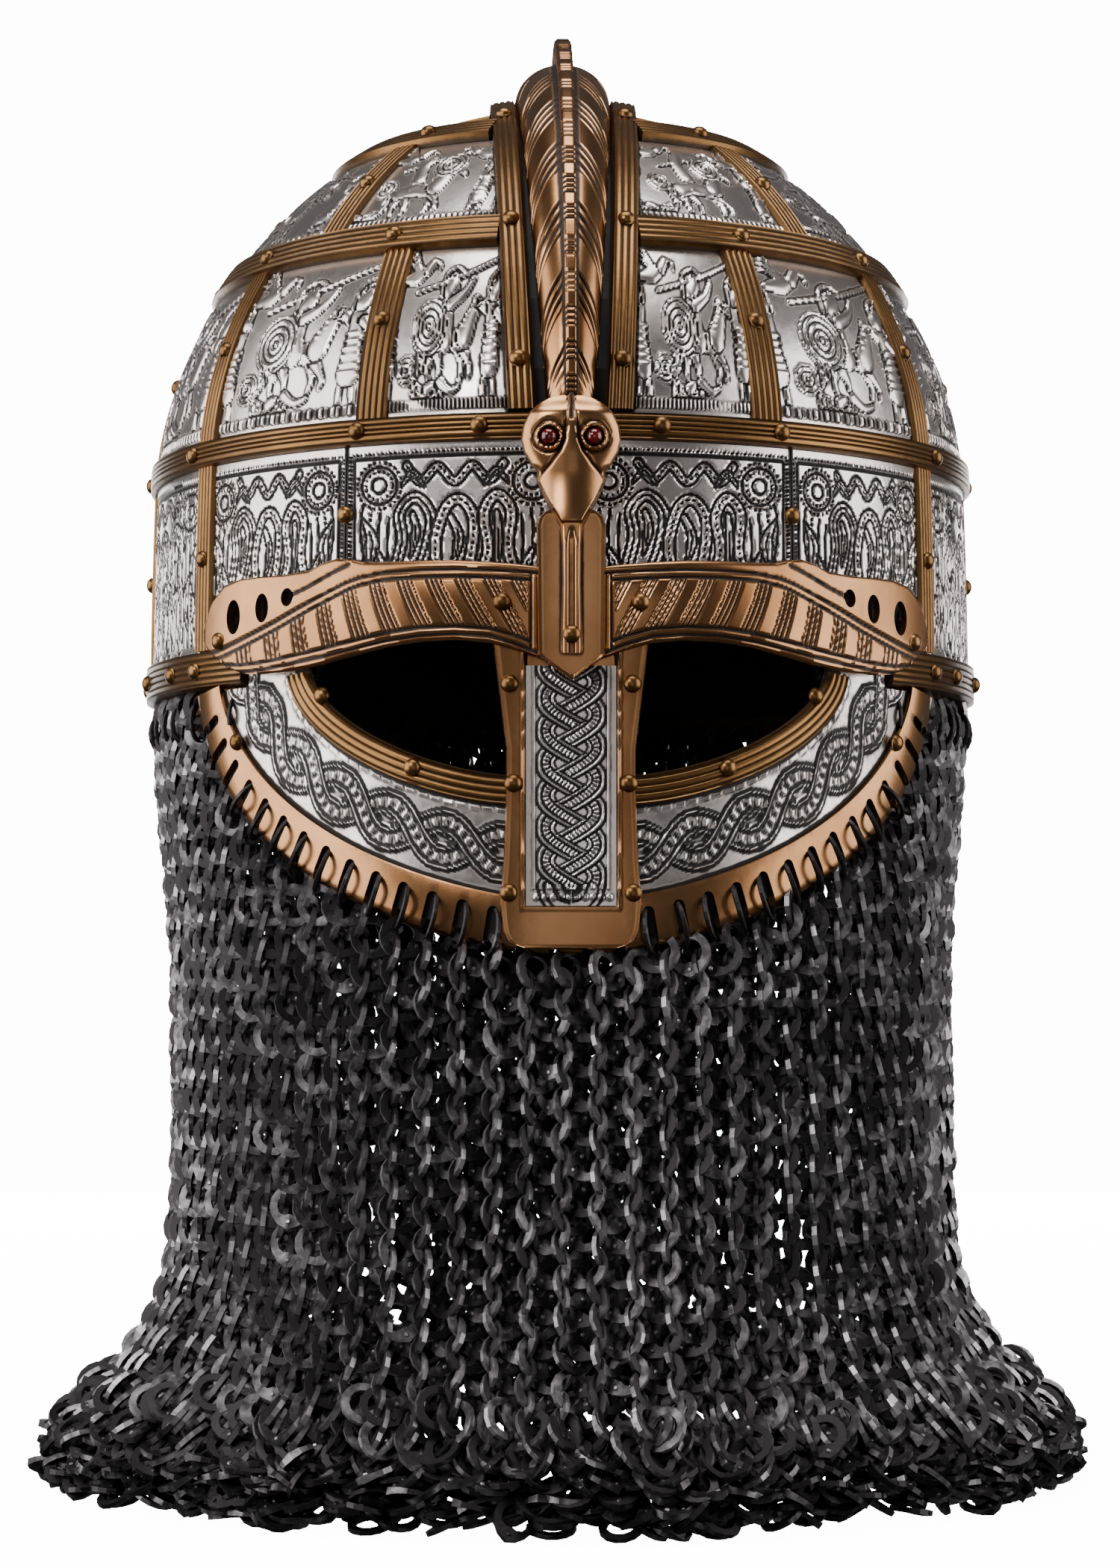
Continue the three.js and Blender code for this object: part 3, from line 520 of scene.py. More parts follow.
class Pressing:
    def __init__(self, x, y):
        self.x = x
        self.y = y
        self.height = np.zeros_like(x)
        self.ink = np.zeros_like(x)

    def away(self, points):  # signed distance from a line, and the length along it
        best = np.full(self.x.shape, 1e9)
        side = np.ones_like(best)
        along = np.zeros_like(best)
        run = 0
        for (ax, ay), (bx, by) in zip(points[:-1], points[1:]):
            dx, dy = bx - ax, by - ay
            length = math.hypot(dx, dy)
            if length < 1e-6:
                continue
            over = ((self.x - ax) * dx + (self.y - ay) * dy) / length
            held = np.clip(over, 0, length)
            across = (dx * (self.y - ay) - dy * (self.x - ax)) / length
            distance = np.hypot(across, over - held)
            nearer = distance < best
            best = np.where(nearer, distance, best)
            side = np.where(nearer, np.sign(across), side)
            along = np.where(nearer, run + held, along)
            run += length
        return best * side, along

    def ridge(self, points, half, rise, steps=6):  # with no steps its corners stay sharp
        distance, _ = self.away(smoothLine(points, steps) if steps else points)
        top = rise * np.sqrt(np.clip(1 - (distance / half) ** 2, 0, 1))
        self.height = np.maximum(self.height, top)

    def tapered(self, points, halves):  # distance from a line, length along it, all of it, and its half width
        line = smoothLine(points)
        distance, along = self.away(line)
        length = np.linalg.norm(np.diff(line, axis=0), axis=1).sum()
        half = np.interp(along / length, np.linspace(0, 1, len(halves)), halves)
        return np.abs(distance), along, length, half

    def limb(self, points, halves, rise):  # a rounded body part, as thick as its table says
        distance, _, _, half = self.tapered(points, halves)
        top = rise * np.clip(1 - (distance / half) ** 2, 0, 1) ** 0.4
        self.height = np.where(distance < half + 0.35, np.where(distance < half, top, 0.0), self.height)

    def leaf(self, points, halves):  # an engraved outline with a vein
        distance, along, length, half = self.tapered(points, halves)
        edge = smooth(0.46, 0.14, np.abs(distance - half))
        self.ink = np.where(distance < half + 0.3, edge, self.ink)
        vein = smooth(0.34, 0.1, distance) * (along > 0.25 * length) * (along < 0.8 * length)
        self.ink = np.maximum(self.ink, vein)

    def layRibbon(self, distance, along, half, rise, bead, inside):  # two edges with beads between them
        edge = rise * np.clip(1 - ((distance - half + 0.36) / 0.38) ** 2, 0, 1) ** 0.5
        pulse = np.clip(np.cos(2 * np.pi * along / bead) + 0.45, 0, 1)
        middle = np.maximum(0.12 * rise, rise * pulse * (distance < 0.36 * half))
        top = np.where(distance < half - 0.5, np.maximum(edge, middle), edge)
        self.height = np.where(inside, top, self.height)
        outline = smooth(0.42, 0.12, np.abs(distance - half - 0.12))
        inline = 0.75 * smooth(0.4, 0.1, np.abs(distance - half + 0.95))
        self.ink = np.where(inside, np.clip(outline + inline, 0, 1), self.ink)

    def beads(self, points, pitch, half, rise):
        distance, along = self.away(points)
        around = (along / pitch % 1 - 0.5) * pitch
        top = rise * np.sqrt(np.clip(1 - (distance ** 2 + around ** 2) / half ** 2, 0, 1))
        self.height = np.maximum(self.height, top)

    def disc(self, x, y, radius, rings, rise=0.7):
        far = np.hypot(self.x - x, self.y - y)
        waves = 0.55 + 0.45 * np.cos(2 * np.pi * rings * far / radius)
        dome = 0.7 + 0.3 * np.sqrt(np.clip(1 - (far / radius) ** 2, 0, 1))
        top = np.where(far < radius, rise * waves * dome, 0)
        self.height = np.where(far < radius + 0.45, top, self.height)

    def braid(self, points, strands, half, bead, rise=0.55):
        # strands are (swing, period, phase, depth's own period and phase), on a line
        distance, along = self.away(points)
        best = np.full(self.x.shape, -9.0)
        for swing, period, phase, deep, deepPhase in strands:
            turn = 2 * np.pi * along / period + phase
            slope = swing * 2 * np.pi / period * np.cos(turn)
            aside = distance - swing * np.sin(turn)
            off = np.abs(aside) / np.hypot(1, slope)
            foot = along + aside * slope / (1 + slope ** 2)
            steps = np.linspace(-period, along.max() + period, 2000)
            rises = np.hypot(1, swing * 2 * np.pi / period * np.cos(2 * np.pi * steps / period + phase))
            own = np.interp(foot, steps, np.cumsum(rises) * (steps[1] - steps[0]))
            depth = np.sin(2 * np.pi * along / deep + deepPhase)
            inside = (off < half + 0.4) & (depth > best)
            self.layRibbon(off, own, half, rise, bead, inside)
            best = np.where(inside, depth, best)

    def line(self, points, half=0.3, dash=0.0, steps=6):  # a dark engraved line
        distance, along = self.away(smoothLine(points, steps) if steps else points)
        mark = smooth(half + 0.16, half - 0.12, np.abs(distance))
        self.ink = np.maximum(self.ink, mark * dashed(along, dash))

    def strap(self, points, half, dash):  # a bright strap between engraved lines
        distance, along = self.away(smoothLine(points))
        distance = np.abs(distance)
        edge = smooth(0.46, 0.14, np.abs(distance - half))
        middle = smooth(0.38, 0.12, distance) * dashed(along, dash)
        self.ink = np.where(distance < half + 0.35, np.maximum(edge, middle), self.ink)

    def cavity(self, reach=3):  # how far a place lies below those around it, used as painted shade in the hollows
        blurred = self.height.copy()
        for _ in range(reach):
            wide = np.pad(blurred, 1, mode="edge")
            blurred = (wide[:-2, 1:-1] + wide[2:, 1:-1] + wide[1:-1, :-2] + wide[1:-1, 2:] + blurred) / 5
        return np.clip((blurred - self.height) * 4.2, 0, 1)


def platePiece(name, size, spot, front, back, cavity, finish, nodes, sharp=40, cuts=None):
    # A plate with a fine front and a coarse back, joined round the edge
    bm, u, v = newGrid(*size)
    moveVerts(bm, spot(u, v, front))
    markVerts(bm, "cavity", cavity)
    count = len(bm.verts)
    coarse = [max(3, int(n) // 9) for n in size]
    bmesh.ops.create_grid(bm, x_segments=coarse[0], y_segments=coarse[1], size=0.5)
    behind = bm.verts[:][count:]
    places = np.array([vert.co[:2] for vert in behind]) + 0.5
    for vert, point in zip(behind, spot(places[:, 0], places[:, 1], back(places[:, 0], places[:, 1]))):
        vert.co = point
    bmesh.ops.bridge_loops(bm, edges=boundary(bm))
    bmesh.ops.recalc_face_normals(bm, faces=bm.faces)
    if cuts:
        bm = cutAway(bm, cuts)
    return addPiece(bm, name, finish, nodes, sharp)


def cutAway(bm, cutter):  # the bmesh less the cutter's solids
    objects = []
    for source in (bm, cutter):
        mesh = bpy.data.meshes.new("cutting")
        source.to_mesh(mesh)
        source.free()
        objects.append(bpy.data.objects.new("cutting", mesh))
        bpy.context.scene.collection.objects.link(objects[-1])
    cut = objects[0].modifiers.new("cut", "BOOLEAN")
    cut.operation = "DIFFERENCE"
    cut.solver = "EXACT"
    cut.use_self = True
    cut.object = objects[1]
    graph = bpy.context.evaluated_depsgraph_get()
    done = bpy.data.meshes.new_from_object(objects[0].evaluated_get(graph))
    for made in objects:
        bpy.data.objects.remove(made)
    left = bmesh.new()
    left.from_mesh(done)
    bpy.data.meshes.remove(done)
    return left


def faceSpot(half, low, high):  # u and v to a place on the bent sheet, for outlines given by a half width
    def spot(u, v, out):
        height = mix(low, high, v)
        return onFace((u - 0.5) * 2 * half(height) * mm, height * mm, out * mm)
    return spot


def level(out):
    return lambda u, v: out + 0 * u


# Eyebrow outline, which the foil behind it also follows
browTable = np.array([  # x, upper edge, lower edge of the bar, then of the field inside the lines
    (6.0, 23.6, 2.6, 20.5, 5.5),
    (7.0, 24.4, 2.9, 21.0, 5.9),
    (12, 25.0, 4.8, 21.4, 8.0),
    (18, 25.6, 6.6, 21.8, 9.9),
    (26, 26.2, 7.5, 22.2, 10.6),
    (34, 26.4, 7.3, 22.3, 10.4),
    (42, 26.4, 6.3, 22.0, 9.4),
    (47, 26.6, 5.2, 21.2, 8.4),
    (50, 27.4, 4.5, 20.2, 7.8),
    (53.5, 27.9, 3.7, 18.6, 7.1),
    (57, 27.0, 2.9, 17.0, 6.4),
    (60, 25.4, 2.4, 15.6, 5.9),
    (66, 24.9, 1.7, 12.8, 5.0),
    (72, 25.0, 1.5, 10.2, 4.3),
    (77, 25.0, 2.2, 8.2, 4.2),
    (81, 23.9, 4.2, 6.8, 4.6),
    (84, 20.6, 7.0, 6.0, 5.4),
    (85.8, 15.0, 9.6, 5.8, 5.6),
    (86.4, 12.6, 11.6, 5.8, 5.7),
])
browHoles = [  # x, height, half width, half height
    (78.4, 15.9, 2.7, 4.2),
    (71.3, 17.4, 2.3, 3.5),
    (65.0, 19.4, 2.0, 2.2),
]
brow = {
    "size": (250, 48),
    "reach": 3.4,
    "seat": 4.6,
    "thick": 1.1,
    "swell": 1.5,
    "rounding": 0.45,
    "deep": 0.55,
    "lineGap": 1.75,
    "cutPitch": 7.2,
    "cuts": 4,
    "cutStep": 1.15,
}


def browTurnAt(x):
    return np.degrees(np.arcsin(np.clip(x / (skull["halfWidth"] / mm + brow["reach"]), -1, 1)))


# Foil pictures, drawn in millimetres from the middle of a panel's foot
class Figure:  # draws in its own small units, with its place, size and facing on the panel
    def __init__(self, press, x, y, size, face):
        self.press = press
        self.x = x
        self.y = y
        self.size = size
        self.face = face

    def at(self, points):
        return [(self.x + self.face * x * self.size, self.y + y * self.size) for x, y in points]

    def limb(self, points, halves, rise):
        self.press.limb(self.at(points), [half * self.size for half in halves], rise)

    def ridge(self, points, half, rise, steps=6):
        self.press.ridge(self.at(points), half * self.size, rise, steps)


def warrior(*where):
    figure = Figure(*where)
    figure.limb([(-1.6, 0.6), (-1.4, 5), (-0.7, 9)], [0.55, 0.8, 1.2], 0.6)
    figure.limb([(1.8, 0.4), (1.3, 4.5), (0.6, 9)], [0.55, 0.8, 1.2], 0.6)
    figure.limb([(0, 7), (0.1, 12), (0, 18)], [2.7, 1.7, 2.3], 0.75)
    for row in range(6):
        figure.ridge([(-2.3, 7.2 + 1.5 * row), (2.3, 7.2 + 1.5 * row)], 0.3, 0.95, 0)
    figure.limb([(1, 17), (4.2, 14.5), (6.6, 16)], [1.1, 0.7, 0.6], 0.7)
    figure.ridge([(6.8, 1), (6.8, 14), (6.6, 27)], 0.42, 0.65)
    figure.limb([(6.6, 25.5), (6.6, 29.5)], [0.95, 0.1], 0.7)
    figure.limb([(-0.4, 20.6), (0.6, 22)], [1.7, 1.5], 0.8)
    figure.ridge([(-2.5, 19.6), (-2.2, 23.6), (0.5, 25.4), (3, 24.6)], 0.4, 0.75)
    brim = figure.at([(-1.6, 21.4), (-1.2, 23.2), (0.6, 24.2)])
    figure.press.beads(brim, 0.9 * figure.size, 0.35 * figure.size, 0.8)


def beast(*where):  # a stepping horse
    figure = Figure(*where)
    legs = [  # foot, top and the bend of the knee
        ((-6, 0), (-5.4, 8), -1.4),
        ((-3.4, 0.4), (-4.4, 8), 1.2),
        ((4, 0.2), (4, 8), 1.2),
        ((7.6, 2.2), (5, 8.4), 1.6),
    ]
    for foot, top, bend in legs:
        knee = ((foot[0] + top[0]) / 2 + bend, 4.2)
        figure.limb([foot, knee, top], [0.6, 0.75, 1.7], 0.6)
    figure.limb([(-6.6, 9.6), (-2, 10.4), (2, 10), (5.4, 10.8)], [2.5, 2.2, 2.3, 2.9], 0.85)
    figure.limb([(5.2, 11), (7.2, 15), (8.8, 18.4)], [2.8, 2.0, 1.4], 0.85)
    figure.limb([(8.2, 18.4), (11.2, 17), (13, 15.2)], [1.5, 1.2, 0.8], 0.8)
    for step in range(6):
        figure.ridge([(3.4 + step * 0.8, 13.4 + step), (5.6 + step * 0.75, 13 + step)], 0.26, 0.95, 0)
    figure.ridge([(-8.4, 10.6), (-10.8, 8.2), (-10.4, 4), (-12, 2)], 0.5, 0.7)
    figure.ridge([(-8.8, 9.4), (-9.8, 7), (-9.2, 4)], 0.4, 0.6)
    for stripe in (-3.2, -2.2, -1.2):
        figure.ridge([(stripe, 8.8), (stripe + 0.3, 12)], 0.22, 1.0, 0)
    eye = figure.at([(9.4, 18.1)])[0]
    figure.press.disc(*eye, 0.7 * figure.size, 1, 0.95)


def bird(*where):
    figure = Figure(*where)
    figure.limb([(-5, -0.6), (-1, 0), (2.4, 1.4)], [0.8, 1.7, 1.2], 0.75)
    figure.limb([(2.2, 1.2), (3.6, 2.6)], [1.2, 1.1], 0.8)
    figure.ridge([(4.2, 3), (6, 2.4), (6, 1.2)], 0.45, 0.7)
    for step in range(4):
        feather = [(-1.4 + step * 0.5, 0.8), (-3.4 + step * 0.3, 2.6 + step), (-6 + step, 3 + step)]
        figure.ridge(feather, 0.34, 0.7)


def coil(*where):  # a fallen, curled figure
    figure = Figure(*where)
    for ring in range(4):
        reach = 5.6 - 1.15 * ring
        turns = np.radians(np.linspace(150, 395 - 12 * ring, 9))
        curl = [(reach * math.cos(a), 0.72 * reach * math.sin(a) + 3.6) for a in turns]
        figure.ridge(curl, 0.42, 0.65, 3)
    figure.limb([(0.4, 3.8), (1.8, 4.6)], [1.4, 1.2], 0.8)
    figure.limb([(5, 5.4), (8.5, 3.4), (11.5, 4.2)], [1.3, 0.9, 0.6], 0.65)


def riderPanel(press):  # the middle tier, 50 wide and 38 high
    beast(press, 2.5, 6.2, 1.02, 1)
    press.limb([(1.2, 16.5), (0.4, 21), (0.8, 25)], [2.6, 2.1, 2.3], 0.8)
    press.limb([(0.8, 27.4), (2, 28.8)], [2.2, 1.9], 0.85)
    press.ridge([(-2.4, 26.4), (-1.6, 31), (2.2, 32.6), (5, 31.4)], 0.5, 0.75)
    press.beads([(-1, 29.8), (1.6, 31.2), (3.6, 30.6)], 1.1, 0.42, 0.8)
    press.limb([(1.4, 24.4), (6, 26.6), (8.6, 30)], [1.5, 1.1, 0.8], 0.75)
    press.ridge([(-12, 27.4), (4, 30.6), (18, 34.6)], 0.5, 0.7)
    press.disc(-5.6, 19.6, 6.3, 4)
    press.disc(-12.6, 10.4, 3.5, 3)
    warrior(press, 17.5, 3.2, 1.12, 1)
    warrior(press, -20.5, 3.2, 1.1, -1)
    coil(press, -4.6, 2.2, 1.0, 1)
    bird(press, -11.5, 31, 1.15, 1)
    for step in range(4):
        press.ridge([(step * 1.1 - 8.2, 11.8), (step * 1.1 - 8.6, 14.6)], 0.3, 0.7, 0)
    for step in range(5):
        blade = [(25.5 - step * 0.9, 22 + step * 2.6), (27.6 - step, 25.6 + step * 2.4)]
        press.ridge(blade, 0.35, 0.6, 0)


def huntPanel(press):  # the upper tier, 48 wide and 30 high
    beast(press, -2, 3.0, 0.86, 1)
    press.disc(3.4, 20.2, 4.4, 3)
    press.disc(-12.8, 13.6, 2.9, 2)
    bird(press, 11, 23.4, 1.05, -1)
    bird(press, -9.5, 24.4, 0.95, 1)
    warrior(press, 15.8, 2.4, 0.8, 1)
    press.limb([(-4, 15.8), (-4.6, 20), (-3.2, 23.4)], [2.1, 1.6, 1.5], 0.75)
    press.ridge([(-10, 19.4), (1, 23), (15, 27)], 0.45, 0.65)
    coil(press, -17.5, 1.6, 0.85, -1)
    for step in range(5):
        press.ridge([(step * 1.2 - 22, 12 + step), (step * 1.2 - 20.6, 16 + step)], 0.32, 0.6, 0)


def ribbonPanel(press):  # the rim tier, 50 wide and 44 high, all of it engraved
    for sign in (1, -1):
        for step in range(4):
            foot = sign * (14.6 + 2.1 * step)
            stem = [(foot, 3), (foot * 0.97, 12 + step), (foot * 1.03, 20 + 1.5 * step), (foot, 27 + step)]
            press.line(stem, 0.32, 1.3 if step == 2 else 0)
        press.leaf([(sign * 21, 27), (sign * 18.6, 22), (sign * 19.6, 15)], [0.3, 1.7, 0.3])
        press.leaf([(sign * 17.4, 20), (sign * 15.4, 14), (sign * 16.6, 7)], [0.3, 1.5, 0.3])
        press.leaf([(sign * 22, 14), (sign * 20.4, 9), (sign * 21.6, 4)], [0.3, 1.3, 0.3])
        for radius, dash in ((5.3, 1.3), (4.2, 0), (3.2, 1.2), (1.7, 0)):
            ring = [(sign * 17 + radius * math.cos(t / 3), 34.4 + radius * math.sin(t / 3))
                    for t in range(20)]
            press.line(ring, 0.3, dash, 2)
    straps = [  # points, half width, length of the dashes along the middle
        ([(-12.6, 3), (-13.4, 13), (-11.6, 22), (-12.2, 28), (-8.6, 31.4),
          (-5, 27), (-6.2, 19), (-8.6, 12), (-8.4, 3)], 1.25, 0),
        ([(-4.4, 3), (-3.2, 12), (-4.0, 21), (-1.6, 29), (1.8, 30.4),
          (4.4, 26), (3.8, 18), (1.8, 11), (2.2, 3)], 1.25, 1.5),
        ([(5.8, 3), (5.4, 12), (7.6, 19), (6.6, 27), (9.2, 31.4),
          (12.4, 28), (11.8, 20), (13.4, 12), (12.2, 3)], 1.25, 1.4),
        ([(-10.6, 38.6), (-7.4, 34.8), (-3.6, 38.2), (0.2, 34.6), (4, 38.2),
          (7.6, 34.8), (10.8, 38.6)], 0.95, 1.5),
    ]
    for points, half, dash in straps:
        press.strap(points, half, dash)
    leaves = [
        ([(-0.6, 26.6), (1.2, 22), (-0.4, 15)], [0.8, 1.1, 0.3]),
        ([(-9.2, 27.6), (-8.4, 24), (-9.6, 18)], [0.7, 1.0, 0.3]),
        ([(9.4, 27.4), (9.8, 22), (9.4, 14)], [0.7, 1.0, 0.3]),
        ([(-11.6, 34.4), (-9.2, 36.8), (-6.6, 33.8)], [0.3, 0.9, 0.3]),
        ([(11.6, 34.4), (9.2, 36.8), (6.6, 33.8)], [0.3, 0.9, 0.3]),
    ]
    for points, halves in leaves:
        press.leaf(points, halves)
    for x in (-10.6, -6.4, -1.4, 0.1, 3.9, 7.6, 9.2):
        press.line([(x, 3), (x * 1.04, 8), (x, 12.5)])


def frameBorder(press):
    for reach, top, dash in ((24.0, 41.6, 1.0), (23.0, 40.5, 0)):
        press.line([(-reach, 0), (-reach, top), (reach, top), (reach, 0)], 0.34, dash, 0)
    press.height = 0.42 - 0.5 * press.ink


def dentilRow(press, foot):
    along = press.x / 1.55 % 1
    tooth = smooth(0.2, 0.34, along) * (1 - smooth(0.66, 0.8, along))
    row = smooth(foot, foot + 0.4, press.y) * (1 - smooth(foot + 2.3, foot + 2.7, press.y))
    press.height = np.where(press.y < foot + 3.2, 0.55 * tooth * row, press.height)


pictures = {  # width and height of the drawing, and how much painted shade darkens its bare ground
    "ribbons": (50, 44, 0),
    "rider": (50, 38, 0.12),
    "hunt": (48, 30, 0.05),
}
foil = {
    "ground": 1.08,
    "rise": 1.05,
    "back": 0.45,
    "lap": 1.2 * mm,
    "seam": 30,
    "rearSeam": 152,
    "cells": {"face": 0.42, "front": 0.52, "side": 0.68, "rear": 0.85},
}


def drawPicture(press, picture):
    if picture == "ribbons":
        ribbonPanel(press)
        frameBorder(press)
    elif picture == "rider":
        riderPanel(press)
        dentilRow(press, 1.2)
    else:
        huntPanel(press)
        dentilRow(press, 1.0)


def browShade(turns, height):  # dark along the eyebrow's upper edge
    across = np.sin(np.radians(turns)) * (skull["halfWidth"] / mm + brow["reach"])
    top, foot = (np.interp(across, browTable[:, 0], browTable[:, i]) for i in (1, 2))
    at = height / mm
    return smooth(top + 1.2, top - 0.8, at) * (at > foot) * (across < 85)


def foilPanel(name, sign, start, end, low, high, picture, cell, nodes):
    # start and end are turns from the nose on one side, or functions of the height
    first = start if callable(start) else lambda height: start + 0 * height
    last = end if callable(end) else lambda height: end + 0 * height
    climbs = climbOf(low), climbOf(high)
    middle = (first(low) + last(low)) / 2

    def flat(u, v):
        height = heightOf(mix(climbs[0], climbs[1], v))
        turns = mix(first(height), last(height), u)
        return turns, height, np.radians(turns - middle) * radiusAt(middle, height)

    def spot(u, v, out):
        turns, height, _ = flat(u, v)
        return onSkull(sign * turns, height, out * mm)

    corners = flat(np.array([0.0, 1.0]), np.array([0.0, 0.0]))[2]
    width = float(corners[1] - corners[0]) / mm
    tall = float(climbs[1] - climbs[0]) / mm
    size = (round(width / cell), round(tall / cell))
    u, v = shares(size)
    turns, height, across = flat(u, v)
    wide, high, ground = pictures[picture]
    press = Pressing(sign * across / mm * wide / width, v * high)
    drawPicture(press, picture)
    # painted shade on the bare ground between the figures, and a strip along the panel's edges
    bare = smooth(0.16, 0.02, press.height) * (np.abs(press.x) < wide / 2 - 1.6) * (press.y < high - 3)
    shade = ground * bare + 0.9 * (1 - smooth(0.2, 0.9, np.minimum(u, 1 - u) * width))
    if picture == "ribbons" and end <= 90:
        shade = shade + browShade(turns, height)
    cavity = np.clip(press.cavity() + (shade + 1.1 * press.ink) * 0.8, 0, 1)
    front = foil["ground"] + foil["rise"] * press.height
    platePiece(name, size, spot, front, level(foil["back"]), cavity, "tinned_foil", nodes)


def makeFoils():
    inset = tiers["crestBandWidth"] / 2 + 0.3 * mm
    inner = lambda height: besideCrest(inset, height)
    outer = lambda height: 180 - besideCrest(inset, height)
    half = tiers["bandWidth"] / 2 - foil["lap"]
    rim = ("ribbons", 7.8 * mm, tiers["brow"] - half)
    face = ("ribbons", 8.7 * mm, tiers["brow"] - half)
    middle = ("rider", tiers["brow"] + half, tiers["middle"] - half)
    upper = ("hunt", tiers["middle"] + half, tiers["upper"] - half)
    cheek, temple, crown = tiers["cheekTurn"], tiers["browTurn"], tiers["upperTurn"]
    seam, rearSeam = foil["seam"], foil["rearSeam"]
    panels = [  # name, first and last turn, tier, size of the grid's cells, node that it stands for
        ("rim_nose", 0.05, seam - 0.1, face, "face", "rim_foil_nose"),
        ("rim_brow", seam + 0.1, cheek, face, "face", "rim_foil_brow"),
        ("rim_side", cheek, 89.9, rim, "side", "rim_foil_side"),
        ("rim_nape", 90.1, 180 - cheek, rim, "rear", "rim_foil_rear"),
        ("rim_back", 180 - cheek, rearSeam, rim, "rear", "rim_foil_rear"),
        ("rim_spine", rearSeam + 0.2, 179.95, rim, "rear", "rim_foil_rear"),
        ("middle_front", inner, temple, middle, "front", "middle_foil_front"),
        ("middle_brow", temple, cheek, middle, "front", "middle_foil_brow"),
        ("middle_side", cheek, 89.9, middle, "side", "middle_foil_side"),
        ("middle_nape", 90.1, 180 - cheek, middle, "rear", "middle_foil_rear"),
        ("middle_back", 180 - cheek, 180 - temple, middle, "rear", "middle_foil_rear"),
        ("middle_spine", 180 - temple, outer, middle, "rear", "middle_foil_rear"),
        ("upper_front", inner, crown, upper, "front", "upper_foil_front"),
        ("upper_side", crown, 89.9, upper, "side", "upper_foil_side"),
        ("upper_nape", 90.1, 180 - crown, upper, "rear", "upper_foil_side"),
        ("upper_spine", 180 - crown, outer, upper, "rear", "upper_foil_side"),
    ]
    for side, sign in sides.items():
        for name, start, end, (picture, low, high), cells, node in panels:
            nodes = [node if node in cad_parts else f"{node}_{side}"]
            cell = foil["cells"][cells]
            foilPanel(f"foil_{name}_{side}", sign, start, end, low, high, picture, cell, nodes)
    print("foils pressed")


makeFoils()


# Crest with feather cuts, and the comb along it
crestSize = {
    "crownHalf": 12.1,
    "footHalf": 5.2,
    "high": 11.2,
    "seat": 0.5,
    "start": 5.6,
    "feather": 11.0,
    "shear": 10.5,
    "cuts": 4,
    "cutPitch": 1.75,
    "cutDepth": 0.75,
    "cutHalf": 0.42,
    "combWidth": 3.4,
    "combFootWidth": 1.8,
    "combHigh": 6.6,
    "combFootHigh": 1.6,
    "notchPitch": 4.7,
    "notches": 4,
    "notchStep": 0.8,
    "notchHalf": 0.24,
    "notchDepth": 0.6,
    "tubeSize": (28, 680),
    "combSteps": 640,
}


def crestHalf(angle):
    return mix(crestSize["footHalf"], crestSize["crownHalf"], np.sin(np.radians(angle)) ** 1.1)


def crestTop(angle):
    return crestSize["seat"] + crestHalf(angle) * crestSize["high"] / crestSize["crownHalf"]


def lineGroup(place, pitch, count, step, half):  # groups of lines: 1 in the middle of a line, 0 beside it
    inGroup = place % pitch
    nearest = np.clip(np.rint(inGroup / step), 0, count - 1) * step
    return np.clip(1 - np.abs(inGroup - nearest) / half, 0, 1)


def makeCrestTube(start, end):
    bm, u, v = newGrid(*crestSize["tubeSize"])
    turn = np.pi * u
    side = np.abs(u - 0.5) * 2
    atComb = mix(start, end + crestSize["shear"], v)
    angle = np.clip(atComb - crestSize["shear"] * side ** 1.1, start, end)
    feather = atComb - start - 3
    groups = [crestSize[key] for key in ("feather", "cuts", "cutPitch", "cutHalf")]
    cut = lineGroup(feather, *groups) ** 0.7
    fade = (1 - smooth(0.88, 1, side)) * smooth(0.13, 0.18, side) * smooth(start, start + 6, angle)
    cut = cut * fade * (atComb < end - 2)
    base = 1 - smooth(0.1, 0.22, side)
    lower = 1 - crestSize["cutDepth"] * cut / crestTop(angle)
    x = -np.cos(turn) * crestHalf(angle) * lower
    out = mix(crestSize["seat"], crestTop(angle), np.sin(turn) * lower)
    moveVerts(bm, overDome(x * mm, angle, out * mm))
    # painted shade in the feather cuts and along the crest's foot and edges
    markVerts(bm, "cavity", np.clip(1.5 * cut + 0.9 * base + 0.6 * smooth(0.9, 1, side), 0, 1))
    bmesh.ops.remove_doubles(bm, verts=bm.verts, dist=0.00002)
    rim = bmesh.ops.extrude_edge_only(bm, edges=boundary(bm))
    for vert in rim["geom"]:
        if isinstance(vert, bmesh.types.BMVert):
            vert.co += Vector((-vert.co.x * 0.12, 0, -0.0001))
    bmesh.ops.holes_fill(bm, edges=boundary(bm), sides=0)
    caps = [face for face in bm.faces if len(face.verts) > 4]
    bmesh.ops.triangulate(bm, faces=caps, ngon_method="EAR_CLIP")
    bmesh.ops.recalc_face_normals(bm, faces=bm.faces)
    addPiece(bm, "crest_tube", "bronze", ["crest"], 50)


def makeComb(start, end):
    section = [(-1, 0), (-1, 0.9), (-0.72, 1), (-0.3, 1), (0.3, 1), (0.72, 1), (1, 0.9), (1, 0)]
    ring = np.array(section + section[:1])
    bm, u, v = newGrid(crestSize["combSteps"], len(section))
    row = np.rint(v * len(section)).astype(int)
    angle = mix(start, end, u)
    swell = np.sin(np.radians(angle)) ** 0.8
    half = mix(crestSize["combFootWidth"], crestSize["combWidth"], swell) / 2
    high = mix(crestSize["combFootHigh"], crestSize["combHigh"], swell)
    groups = [crestSize[key] for key in ("notchPitch", "notches", "notchStep", "notchHalf")]
    notch = lineGroup(angle - start, *groups)
    up = ring[row, 1]
    out = crestTop(angle) + 0.1 + high * up - crestSize["notchDepth"] * notch * (up > 0.85)
    moveVerts(bm, overDome(ring[row, 0] * half * (1 - 0.1 * notch) * mm, angle, out * mm))
    # painted shade in the notches and on the comb's lower half
    markVerts(bm, "cavity", np.clip(notch * (up > 0.85) + 0.5 * (up < 0.5), 0, 1))
    closeTube(bm)
    addPiece(bm, "crest_comb", "bronze", ["comb"], 50)


